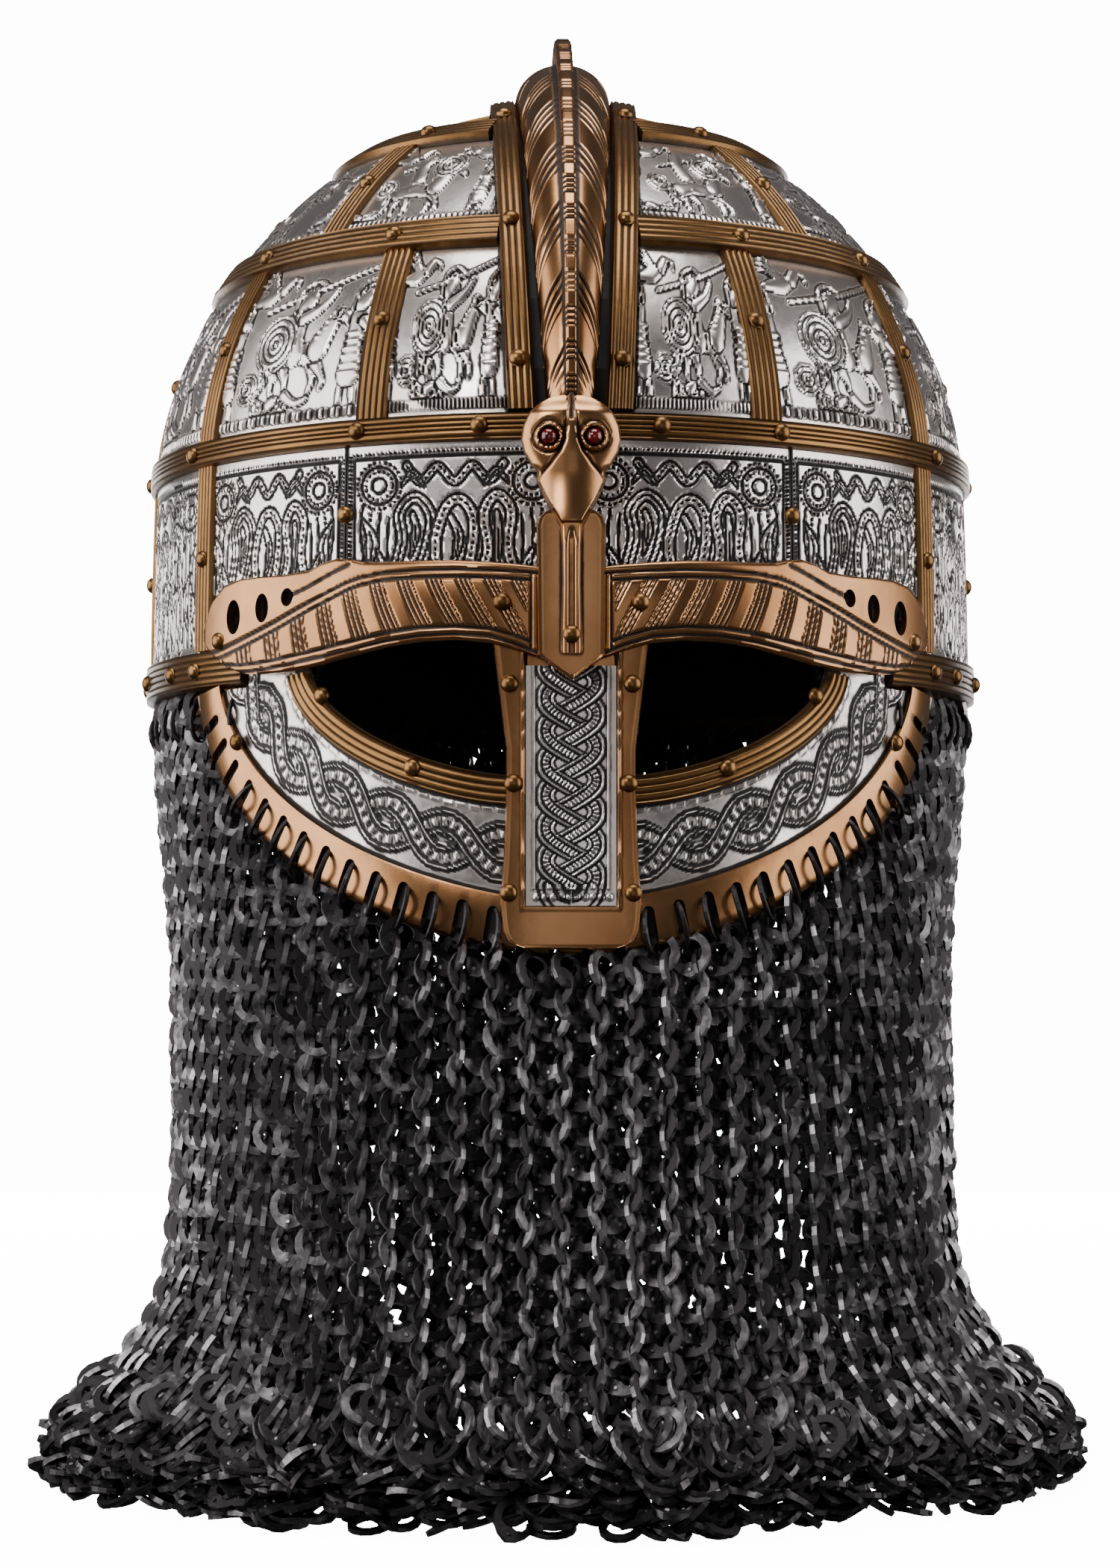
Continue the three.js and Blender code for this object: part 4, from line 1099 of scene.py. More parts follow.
def makeCrest():
    start, end = crestSize["start"], 180 - crestSize["start"]
    makeCrestTube(start, end)
    makeComb(start, end)
    print("crest made")


makeCrest()


# Eyebrows: bars with a double line round a field of slanted cuts
def browSpan(share):  # x along the bar
    eased = share + 0.06 * np.sin(2 * np.pi * share) / (2 * np.pi)
    return mix(browTable[0, 0], browTable[-1, 0], eased)


def browEdge(share, column):
    return np.interp(browSpan(share), browTable[:, 0], browTable[:, column])


def browGroove(press, u):  # 1 at the bottom of a cut, 0 beside it
    x, y = press.x, press.y
    upper, lower = browEdge(u, 3), browEdge(u, 4)
    groove = np.zeros_like(x)
    for column, way in ((3, 1), (4, -1)):
        far, _ = press.away(browTable[:-2, [0, column]])
        for shift in (0.0, brow["lineGap"]):
            line = np.clip(1 - np.abs(far * way - shift) / 0.55, 0, 1)
            groove = np.maximum(groove, line * (x > 9 - shift))
    ends = (y < upper + 1.8) & (y > lower - 1.8)
    for place in (9.0, 7.4):
        groove = np.maximum(groove, np.clip(1 - np.abs(x - place) / 0.42, 0, 1) * ends)
    inField = (y < upper - 0.3) & (y > lower + 0.3) & (x > 10)
    lean = mix(0.62, 0.12, smooth(10, 70, x))
    slanted = x - (y - lower) * lean - 2.0
    cuts = lineGroup(slanted, brow["cutPitch"], brow["cuts"], brow["cutStep"], 0.42)
    groove = np.maximum(groove, 0.75 * cuts * inField)
    curl = np.abs(press.away([(50.5, 26.2), (55, 24.0), (60, 21.4), (64.5, 19.6)])[0])
    return np.maximum(groove, np.clip(1 - curl / 0.7, 0, 1))


def browCutter(sign):
    cutter = bmesh.new()
    for x, height, wide, tall in browHoles:
        centre = onSkull(sign * float(browTurnAt(x)), height * mm, 6 * mm)
        matrix = standing(centre) @ Matrix.Diagonal((wide * mm, tall * mm, 1, 1))
        bmesh.ops.create_cone(cutter, cap_ends=True, segments=28, radius1=1, radius2=1, depth=12 * mm,
                              matrix=matrix)
    return cutter


def makeEyebrows():
    u, v = shares(brow["size"])
    x, y = browSpan(u), mix(browEdge(u, 2), browEdge(u, 1), v)
    groove = browGroove(Pressing(x, y), u)
    tail = smooth(55, 63, x) * smooth(browEdge(u, 3) + 2.2, browEdge(u, 3) + 3.2, y)
    start, end = browTable[0, 0], browTable[-1, 0]
    along = np.sin(np.pi * np.clip((x - start) / (end - start) / 0.78, 0, 1)) ** 0.8
    swell = brow["swell"] * np.sin(np.pi * v) ** 0.7 * along
    toSide = np.minimum(v, 1 - v) * (browEdge(u, 1) - browEdge(u, 2))
    toEdge = np.minimum(toSide, np.minimum(x - start, end - x) * 1.2)
    rounding = brow["rounding"] * np.sqrt(np.clip(1 - (1 - np.clip(toEdge / 0.9, 0, 1)) ** 2, 0, 1))
    front = brow["seat"] + brow["thick"] + swell + rounding - brow["deep"] * groove ** 0.7 + 0.15 * tail
    for side, sign in sides.items():
        def spot(u, v, out):
            height = mix(browEdge(u, 2), browEdge(u, 1), v)
            return onSkull(sign * browTurnAt(browSpan(u)), height * mm, out * mm)

        # the grooves and cuts get painted shade through the cavity mark
        platePiece(f"brow_bar_{side}", brow["size"], spot, front, level(brow["seat"]),
                   np.clip(groove * 1.3, 0, 1), "bronze", [f"eyebrow_{side}"], 50, browCutter(sign))
    print("eyebrows made")


makeEyebrows()


# Nose bar, nose plate and the beast's head, in millimetres from the middle of the rim
nose = {
    "frame": {
        "low": -64.6, "high": 9, "size": (84, 150), "out": 4.75, "seat": 3.1,
        "half": [(-64.6, 9.5), (-63.9, 12.6), (-62.6, 15.0), (-60.6, 16.0), (-58, 16.5), (-54, 16.8),
                 (-44, 16.0), (-28, 15.4), (-18, 15.4), (-7.8, 16.7), (0, 17.7), (9, 18.8)],
    },
    "foil": {"low": -54.4, "high": 1.4, "size": (66, 172), "out": 4.25, "seat": 3.8, "half": [(0, 10.7)]},
    "plate": {
        "low": -2.2, "high": 37.6, "size": (40, 84), "out": 7.5, "seat": 6.4,
        "half": [(-2.2, 0.15), (3.4, 7.7), (10, 7.8), (30, 8.0), (33.6, 8.1), (35.6, 7.6), (37, 6.2),
                 (37.6, 4.4)],
    },
    "head": {
        "low": 3.8, "high": 63.4, "size": (64, 170), "snoutSeat": 8.0, "seat": 4.6, "neck": 37.5,
        "half": [(3.8, 2.3), (4.6, 2.6), (10, 2.4), (20, 2.1), (29, 2.2), (33.4, 2.7), (36, 4.0),
                 (39, 5.8), (42, 7.2), (44.5, 8.2), (46, 7.7), (46.6, 8.0), (48, 9.4), (51, 11.1),
                 (54, 11.8), (57, 11.4), (60, 9.8), (62, 7.4), (63, 5.4), (63.4, 3.8)],
        "beak": [(29, 1.4), (33.4, 1.9), (36, 3.2), (39, 5.0), (42, 6.5), (44.3, 7.4), (46, 6.2),
                 (48, 4.4), (51, 2.4), (54, 1.5), (58, 0.9), (62, 0.6)],
    },
    "stone": {"x": 5.1, "high": 54.3, "out": 9.9, "radius": 1.95},
}


def widthOf(part, table="half"):  # half the width at a height, from the part's own table
    rows = np.array(nose[part][table])
    return lambda height: np.interp(height, rows[:, 0], rows[:, 1])


def noseSheet(part):  # shares across and up, and places in millimetres
    low, high = nose[part]["low"], nose[part]["high"]
    u, v = shares(nose[part]["size"])
    y = mix(low, high, v)
    return u, v, (u - 0.5) * 2 * widthOf(part)(y), y


def toEdge(part, u, v, longer=0):  # distance to the outline, whose top may be hidden further up
    low, high = nose[part]["low"], nose[part]["high"] + longer
    height = mix(low, high, v)
    across = np.minimum(u, 1 - u) * 2 * widthOf(part)(height)
    return np.minimum(across, np.minimum(height - low, high - height))


def nosePiece(name, part, front, back, cavity, finish, node, sharp=50):
    low, high = nose[part]["low"], nose[part]["high"]
    spot = faceSpot(widthOf(part), low, high)
    platePiece(name, nose[part]["size"], spot, front, back, np.clip(cavity, 0, 1), finish, [node], sharp)


def makeNoseFrame():
    u, v, x, y = noseSheet("frame")
    rim = toEdge("frame", u, v, 9)
    window = np.minimum(10.9 - np.abs(x), y + 54.6)
    lip = np.clip(1 - np.abs(rim - 0.5) / 0.5, 0, 1) ** 0.5
    lip = lip + np.clip(1 - np.abs(window + 0.45) / 0.45, 0, 1) ** 0.5
    recess = smooth(-0.15, 0.25, window)
    front = nose["frame"]["out"] + 0.28 * lip - 1.1 * recess - 0.3 * (1 - smooth(0, 0.35, rim))
    shade = 0.9 * np.clip(1 - np.abs(window - 0.2) / 0.5, 0, 1) + 0.25 * (1 - smooth(0.6, 1.3, rim))
    nosePiece("nose_frame", "frame", front, level(nose["frame"]["seat"]), shade, "bronze", "nasal_frame")


def makeNoseFoil():
    part = nose["foil"]
    press = Pressing(*noseSheet("foil")[2:])
    period = 22.6
    strands = [(6.0, period, 2 * np.pi * i / 3, period / 2, 4 * np.pi * i / 3 + 0.4) for i in range(3)]
    press.braid(np.array([(0, -49.6), (0, 2)]), strands, 1.95, 0.95)
    for sign in (1, -1):
        press.ridge([(sign * 8.9, part["low"]), (sign * 8.9, part["high"])], 0.34, 0.5, 0)
    press.height = np.where(press.y < -50.6, 0, press.height)
    press.beads([(-9, -52.4), (9, -52.4)], 1.9, 0.85, 0.6)
    shade = 0.12 + 0.6 * press.cavity() + 0.7 * press.ink
    front = part["out"] + 0.75 * press.height
    nosePiece("nose_foil", "foil", front, level(part["seat"]), shade, "tinned_foil", "nasal_panel", 40)


def makeNoseShield():
    u, v, x, y = noseSheet("plate")
    rim = toEdge("plate", u, v)
    lip = 0.35 * np.clip(1 - np.abs(rim - 0.45) / 0.5, 0, 1) ** 0.5
    front = nose["plate"]["out"] + lip + 0.3 * (1 - (x / 8) ** 2) - 0.5 * (1 - smooth(0, 0.3, rim))
    shade = 0.7 * (1 - smooth(2.4, 3.4, np.abs(x))) * smooth(2, 5, y)
    nosePiece("nose_shield", "plate", front, level(nose["plate"]["seat"]), shade, "bronze", "nose_plate")


def makeBeastHead():
    part, stone = nose["head"], nose["stone"]
    _, _, x, y = noseSheet("head")
    half, beak = widthOf("head")(y), widthOf("head", "beak")(y)
    across = np.abs(x)
    edge = half - across
    lobe = 3.4 * np.clip(1 - (across / (half + 0.01)) ** 2, 0, 1) ** 0.5 * smooth(63.9, 59, y) + 1.6
    roof = np.where(y < 34, 4.4, 6.3 - 0.07 * across ** 1.8 - 0.9 * smooth(50, 62, y))
    upperHead = mix(lobe, roof, smooth(-0.2, 0.35, beak - across))
    ridges = 1.1 * np.clip(1 - ((across - 1.3) / 0.85) ** 2, 0, 1) ** 0.5 * smooth(36, 28, y)
    front = np.where(y > 34.5, upperHead, mix(3.0 + ridges, upperHead, smooth(29.5, 34.5, y)))
    border = np.clip(1 - np.abs(beak - across + 0.35) / 0.5, 0, 1) * smooth(44.6, 46.4, y) * smooth(62, 56, y)
    aside, above = across - stone["x"], y - stone["high"]
    eyeFar = np.hypot(aside, above)
    wobble = 0.22 * np.sin(7 * np.arctan2(above, aside)) * np.sin(3 * x)
    collar = np.clip(1 - ((eyeFar - 2.75) / 0.62) ** 2, 0, 1) ** 0.5
    socket = 1 - smooth(1.9, 2.3, eyeFar)
    moat = np.clip(1 - np.abs(eyeFar - 3.6) / 0.45, 0, 1)
    combSlot = np.clip(1 - across / 1.0, 0, 1) * smooth(57.4, 58.4, y)
    front = front + (1.1 + wobble) * collar - 1.2 * socket - 0.5 * moat - 0.7 * border
    front = front - 0.8 * np.clip(1 - edge / 0.7, 0, 1) ** 2 - 0.8 * combSlot
    front = front + mix(6.7, 5.4, smooth(33, 46, y))
    shade = 1.1 * border + 0.9 * moat + 0.5 * socket + 0.9 * combSlot + 0.5 * (1 - smooth(0.2, 0.8, edge))
    # painted shade in the groove between the snout's ridges
    groove = smooth(0.9, 0.5, np.abs(across - 0.2)) * smooth(30, 26, y) * 0.35

    def seat(u, v):
        return np.where(mix(part["low"], part["high"], v) < part["neck"], part["snoutSeat"], part["seat"])

    nosePiece("beast_face", "head", front, seat, np.clip(shade, 0, 1) + groove, "bronze", "beast_head")
    for side, sign in sides.items():
        bm = bmesh.new()
        middle = onFace(sign * stone["x"] * mm, stone["high"] * mm, stone["out"] * mm)
        bmesh.ops.create_uvsphere(bm, u_segments=24, v_segments=16, radius=stone["radius"] * mm,
                                  matrix=Matrix.Translation(middle))
        addPiece(bm, f"eye_stone_{side}", "garnet", [f"garnet_{side}"])


def makeNose():
    makeNoseFrame()
    makeNoseFoil()
    makeNoseShield()
    makeBeastHead()
    print("nose and head made")


makeNose()


# Guard: foil with a twisted ribbon, reeded eye rims and the slotted channel
guard = {
    "half": 113.0,
    "drop": 65.0,
    "full": 1.68,
    "channel": 11.5,
    "slots": 32,
    "slotWidth": 2.7,
    "slotEnd": 8.6,
    "rimWidth": 6.5,
    "foilSize": (270, 66),
}


def guardEdge(angle):
    reach = np.sign(np.cos(angle)) * np.abs(np.cos(angle)) ** (2 / guard["full"])
    return np.stack([guard["half"] * reach, -guard["drop"] * np.sin(angle) ** (2 / guard["full"])], -1)


def evenLine(points, count):  # the same line with points at even steps
    length = np.concatenate([[0], np.cumsum(np.linalg.norm(np.diff(points, axis=0), axis=1))])
    at = np.linspace(0, length[-1], count)
    return np.stack([np.interp(at, length, points[:, i]) for i in (0, 1)], -1)


def alongLine(line, place):  # place counts the line's own points
    return np.stack([np.interp(place, np.arange(len(line)), line[:, i]) for i in (0, 1)], -1)


def besideLine(line, share, inward):  # inward is to the right of the way the line runs
    place = share * (len(line) - 1)
    at = alongLine(line, place)
    way = np.gradient(line, axis=0)
    way = alongLine(way / np.linalg.norm(way, axis=1, keepdims=True), place)
    return at[..., 0] + way[..., 1] * inward, at[..., 1] - way[..., 0] * inward


def offsetLine(line, end, count, inward):  # the line's first part, moved inward
    return np.stack(besideLine(line, np.linspace(0, end, count), inward), -1)


startAngle = math.asin((2 / guard["drop"]) ** (guard["full"] / 2))
guardLine = evenLine(guardEdge(np.linspace(startAngle, math.pi - startAngle, 400)), 400)
eyeShares = np.sin(np.pi / 2 * np.linspace(0, 0.995, 60))
eyeLine = np.stack([14.7 + 54.3 * eyeShares, 1.8 - 26 * (1 - eyeShares ** 1.55) ** (1 / 1.55)], -1)
slotShares = (np.arange(guard["slots"]) + 1.3) / (guard["slots"] + 1.6)


def guardFoil(side, sign):
    outer = evenLine(guardLine[:200][::-1], 300)
    outer = evenLine(outer[outer[:, 0] > 12], 240)
    inner = evenLine(np.vstack([eyeLine, [(71.5, 5.6), (88.6, 5.6), (90.0, -0.8), (103.5, -1.0)]]), 240)

    def flat(u, v):
        a, b = alongLine(outer, u * 239), alongLine(inner, u * 239)
        return a + (b - a) * mix(0.05, 1, v)[..., None]

    def spot(u, v, out):
        at = flat(u, v) * mm
        return onFace(sign * at[..., 0], at[..., 1], out * mm)

    at = flat(*shares(guard["foilSize"]))
    press = Pressing(at[..., 0], at[..., 1])
    rimEdge = offsetLine(eyeLine, 1, 60, guard["rimWidth"])
    channelEdge = offsetLine(guardLine, 0.5, 60, guard["channel"])[::-1]
    above = evenLine(np.vstack([rimEdge, [(83, 3)]]), 40)
    middle = np.array([mix(a, b, 0.47) for a, b in zip(evenLine(channelEdge, 40), above)])
    middle = middle[middle[:, 0] > 12]
    period = 31.0
    strands = [(way * 4.3, period, 0.7, period, 0.7 + way * math.pi / 2) for way in (1, -1)]
    press.braid(middle, strands, 2.7, 2.6)
    distance, along = press.away(middle)
    for lens in range(9):
        centre = (lens + 0.5 - 0.7 / math.pi) * period / 2
        far = np.abs(distance) / 1.5 + ((along - centre) / 4.2) ** 2
        press.height = np.maximum(press.height, 0.45 * np.clip(1 - np.abs(far - 0.75) / 0.25, 0, 1))
    dashFar, dashAlong = press.away(offsetLine(eyeLine, 1, 60, 8.0))
    dash = 0.4 * np.clip(1 - (dashFar / 0.42) ** 2, 0, 1) * (dashAlong % 3.4 > 0.6)
    press.height = np.maximum(press.height, dash)
    edgeFar, _ = press.away(offsetLine(guardLine, 0.5, 80, guard["channel"]))
    rimFar, _ = press.away(rimEdge)
    shade = 0.9 * (1 - smooth(0.3, 1.2, np.abs(edgeFar))) + 0.8 * (1 - smooth(0.3, 1.1, np.abs(rimFar)))
    outside, _ = press.away(guardLine[:201])
    shade = np.maximum(shade, 2 * (np.abs(outside) < guard["channel"] + 0.2))
    shade = np.maximum(shade, 1.5 * smooth(-1.5, 0.3, at[..., 1]) * (at[..., 0] < 74))
    cavity = np.clip(0.2 + 0.8 * press.cavity() + press.ink + 0.8 * shade, 0, 1)
    platePiece(f"guard_foil_{side}", guard["foilSize"], spot, 1.15 + 0.8 * press.height, level(0.5), cavity,
               "tinned_foil", ["guard_plate"])


def eyeReed(side, sign):
    def place(u, s, out):
        x, y = besideLine(eyeLine, u, guard["rimWidth"] / 2 + s / mm)
        return onFace(sign * x * mm, y * mm, out)

    section = reedSection(guard["rimWidth"] * mm, 3, 2.9 * mm, 1.2 * mm)
    reededPiece(f"eye_reed_{side}", section, 90, place, [f"eye_rim_{side}"])


def slotCutter():
    cutter = bmesh.new()
    wide = guard["slotWidth"] * mm
    for share in slotShares:
        x, y = besideLine(guardLine, np.array([share, share]), np.array([-3.0, guard["slotEnd"]]))
        mouth, foot = (Vector(onFace(x[i] * mm, y[i] * mm, 2.2 * mm)) for i in (0, 1))
        way = (mouth - foot).normalized()
        inner = foot + way * guard["slotWidth"] / 2 * mm
        out = Vector(outwardOf(np.array(inner)))
        turned = Matrix((way, out.cross(way), out)).transposed().to_4x4()
        bmesh.ops.create_cone(cutter, cap_ends=True, segments=16, radius1=wide / 2, radius2=wide / 2,
                              depth=6 * mm, matrix=Matrix.Translation(inner) @ turned)
        slot = Matrix.Diagonal(((mouth - inner).length, wide, 6.01 * mm, 1))
        box = Matrix.Translation((inner + mouth) / 2) @ turned @ slot
        bmesh.ops.create_cube(cutter, size=1, matrix=box)
    return cutter


def makeGuard():
    for side, sign in sides.items():
        guardFoil(side, sign)
        eyeReed(side, sign)
    section = [  # distance inside the edge, distance out; the rolled edge is at its foot
        (11.5, 1.25), (11.5, 2.55), (11.1, 2.7), (6, 2.75), (2.2, 2.7), (0.6, 2.4), (-0.5, 1.7),
        (-0.8, 0.9), (-0.5, 0.1), (0.4, -0.6), (1.4, -0.7), (2.0, -0.7), (2.0, 1.2), (6, 1.25),
    ]
    ring = np.array(section + section[:1])
    bm, u, v = newGrid(260, len(section))
    row = np.rint(v * len(section)).astype(int)
    x, y = besideLine(guardLine, u, ring[row, 0])
    moveVerts(bm, onFace(x * mm, y * mm, ring[row, 1] * mm))
    # painted shade on the channel's inner edge, where it stands on the foil
    markVerts(bm, "cavity", 0.25 * (ring[row, 0] > 11))
    closeTube(bm)
    addPiece(cutAway(bm, slotCutter()), "guard_edge", "bronze", ["guard_channel"], 50)
    print("guard made")


makeGuard()


# Rivets: brass domes
rivetSize = {"radius": 2.15 * mm, "high": 0.8, "crestBandOut": 3.35}
rivetPlaces = [  # turn from the nose, height over the rim, distance out
    (26.5, 85, 2.45), (56.7, 83.5, 2.45), (56.7, 32, 2.45), (90, 32, 2.45), (90, 83.5, 2.45),
    (90, 125, 2.45), (42, 125, 2.45), (123.3, 83.5, 2.45), (123.3, 32, 2.45), (153.5, 85, 2.45),
    (138, 125, 2.45), (30, 38.7, 1.6), (152, 38.7, 1.6), (11.5, 58.1, 3.4), (28, 58.1, 3.4),
    (59.3, 58.1, 3.4), (90, 58.1, 3.4), (120.7, 58.1, 3.4), (152, 58.1, 3.4), (170, 58.1, 3.4),
    (28, 106.8, 3.4), (56, 106.8, 3.4), (90, 106.8, 3.4), (124, 106.8, 3.4), (152, 106.8, 3.4),
    (37, 138.8, 3.4), (90, 138.8, 3.4), (143, 138.8, 3.4), (57.5, 4.4, 3.3), (65, 4.4, 3.3),
    (79, 4.4, 3.3), (92, 4.4, 3.3), (106, 4.4, 3.3), (120, 4.4, 3.3), (134, 4.4, 3.3),
    (148, 4.4, 3.3), (162, 4.4, 3.3), (176, 4.4, 3.3),
]
faceRivets = [  # x, height, distance out
    (15.5, 16.1, 6.9), (82.2, 10.5, 6.1), (14, -2.8, 4.75), (13.2, -26, 4.75), (14.2, -51.4, 4.75),
    (58.8, -4.2, 2.8), (37.1, -21.9, 2.8), (80.3, -14, 2.7),
]


def rivetDome():
    bm = bmesh.new()
    bmesh.ops.create_uvsphere(bm, u_segments=18, v_segments=10, radius=rivetSize["radius"])
    bmesh.ops.bisect_plane(bm, geom=bm.verts[:] + bm.edges[:] + bm.faces[:], plane_co=(0, 0, 0),
                           plane_no=(0, 0, 1), clear_inner=True)
    bmesh.ops.holes_fill(bm, edges=boundary(bm), sides=0)
    bmesh.ops.scale(bm, vec=(1, 1, rivetSize["high"]), verts=bm.verts)
    # painted shade round the rivet's foot
    markVerts(bm, "cavity", [0.8 if vert.co.z < 0.1 * mm else 0.0 for vert in bm.verts])
    mesh = bpy.data.meshes.new("dome")
    bm.to_mesh(mesh)
    bm.free()
    return mesh


def makeRivets():
    spots = []
    for sign in (1, -1):
        for turn, height, out in rivetPlaces:
            spots.append(onSkull(sign * turn, height * mm, out * mm))
        for height in (73.4, 109.4, 143.8):
            angle = float(angleAt(height * mm))
            for place in (angle, 180 - angle):
                side = sign * float(crestBandLine(place))
                spots.append(overDome(side, place, rivetSize["crestBandOut"] * mm))
        for x, height, out in faceRivets:
            spots.append(onSkull(sign * float(browTurnAt(x)), height * mm, out * mm))
    spots.append(onFace(0, 8.2 * mm, 10.3 * mm))
    mesh = rivetDome()
    bm = bmesh.new()
    for spot in spots:
        before = len(bm.verts)
        bm.from_mesh(mesh)
        bm.verts.ensure_lookup_table()
        bmesh.ops.transform(bm, matrix=standing(spot), verts=bm.verts[before:])
    bpy.data.meshes.remove(mesh)
    addPiece(bm, "rivets", "brass", [], 60)
    print("rivets made", len(spots))


makeRivets()


# Mail: rows of rings down the curtain, leaning to and fro
ringShape = {
    "radius": 4.35 * mm,
    "width": 1.9 * mm,
    "thick": 1.25 * mm,
    "steps": 14,
    "lap": 1.5,
    "rivet": 0.8 * mm,
    "rivetHigh": 0.55 * mm,
}
mail = {
    "columns": 90,
    "backClose": 0.09,
    "rowPitch": (3.5 * mm, 4.1 * mm),
    "pitchGrows": 110 * mm,
    "first": 3 * mm,
    "drop": 199.5 * mm,
    "longest": 260 * mm,
    "guardTurn": 58,
    "guardGap": 2.5 * mm,
    "lean": 37.0,
    "tilt": (19.0, 12.0),
    "sideIn": 6.5 * mm,
    "frontOut": 1.2 * mm,
    "foldDepth": 1.6 * mm,
    "sideSpread": 21.5 * mm,
    "frontSpread": 11 * mm,
    "rearSpread": 18 * mm,
    "wave": 2.2 * mm,
    "looseFrom": 172 * mm,
    "flatFrom": 190 * mm,
    "looseCopies": 3,
    "scatter": (2.0 * mm, 2.0 * mm, 2.6 * mm),
    "jitter": 0.22 * mm,
    "seed": 7,
}
mailRows = np.array([  # share of the drop, side, front, spread
    (0.015, 0.3, 0.5, 0),
    (0.12, 0.5, 0.8, 0),
    (0.3, 1, 1, 0),
    (0.52, 1.08, 1, 0),
    (0.7, 1, 1, 0.02),
    (0.76, 0.9, 1, 0.12),
    (0.805, 0.7, 1, 0.26),
    (0.855, 0.45, 1, 0.47),
    (0.9, 0.2, 1, 0.8),
    (0.935, 0, 1, 1),
    (0.962, 0, 1, 1),
    (0.984, 0, 1, 0.86),
])


def mailSheet(turn, place):  # middle of the curtain at a turn and a share of its drop
    side, front, spread = (np.interp(place, mailRows[:, 0], mailRows[:, i]) for i in (1, 2, 3))
    around = np.radians(turn)
    frontness = np.clip(np.cos(around) * 1.6 - 0.5, 0, 1)
    hang = mix(-mail["sideIn"] * side, mail["frontOut"] * front, frontness)
    ripple = np.sin(around * 9) * mail["foldDepth"] * np.clip(place * 2 - 0.5, 0, 1)
    wave = (np.sin(around * 5 + 1) + 0.6 * np.sin(around * 8)) * mail["wave"]
    end = np.where(np.cos(around) > 0, mail["frontSpread"], mail["rearSpread"])
    hem = mix(mail["sideSpread"], end, np.cos(around) ** 2) + wave
    point = onSkull(turn, 0 * place, hang + ripple + spread * hem)
    point[..., 2] = skull["rim"] - mail["drop"] * place
    return point


def guardDrop(across):  # height of the guard's lower edge
    share = np.clip(np.abs(across) / guard["half"] / mm, 0, 1)
    return -guard["drop"] * mm * (1 - share ** guard["full"]) ** (1 / guard["full"])


def makeRing():
    bm = bmesh.new()
    bmesh.ops.create_grid(bm, x_segments=1, y_segments=1, size=0.5)
    for vert in bm.verts:
        vert.co = (ringShape["radius"] + vert.co.x * ringShape["width"], 0, vert.co.y * ringShape["thick"])
    section = bm.verts[:] + bm.edges[:] + bm.faces[:]
    bmesh.ops.spin(bm, geom=section, cent=(0, 0, 0), axis=(0, 0, 1), dvec=(0, 0, 0), angle=2 * math.pi,
                   steps=ringShape["steps"], use_merge=True, use_duplicate=False)
    upright = [face for face in bm.faces if abs(face.normal.z) < 0.01]
    inner = [face for face in upright if all(len(edge.link_faces) > 2 for edge in face.edges)]
    bmesh.ops.delete(bm, geom=inner, context="FACES")
    bmesh.ops.remove_doubles(bm, verts=bm.verts, dist=0.00001)
    for vert in bm.verts:  # the ends lap, flattened and wider, round the rivet
        turn = abs(math.atan2(vert.co.y, vert.co.x))
        swell = max(0, 1 - turn / 0.75) * (ringShape["lap"] - 1)
        across = vert.co.xy.length - ringShape["radius"]
        vert.co.xy *= 1 + swell * across / vert.co.xy.length * 2
        vert.co.z *= 1 + swell
    seat = Matrix.Translation((ringShape["radius"], 0, ringShape["thick"] * 0.78))
    bmesh.ops.create_cone(bm, cap_ends=True, cap_tris=False, segments=6, radius1=ringShape["rivet"],
                          radius2=ringShape["rivet"] * 0.5, depth=ringShape["rivetHigh"], matrix=seat)
    bmesh.ops.recalc_face_normals(bm, faces=bm.faces)
    bm.normal_update()
    layer = bm.faces.layers.float.new("edge")  # painted highlight: the rim and the rivet are painted brighter, where they would catch the light
    for face in bm.faces:
        onRivet = face.calc_center_median().z > ringShape["thick"] * 0.8
        face[layer] = 1.0 if onRivet or abs(face.normal.z) < 0.7 else 0.0
    mesh = bpy.data.meshes.new("ring")
    bm.to_mesh(mesh)
    bm.free()
    return mesh


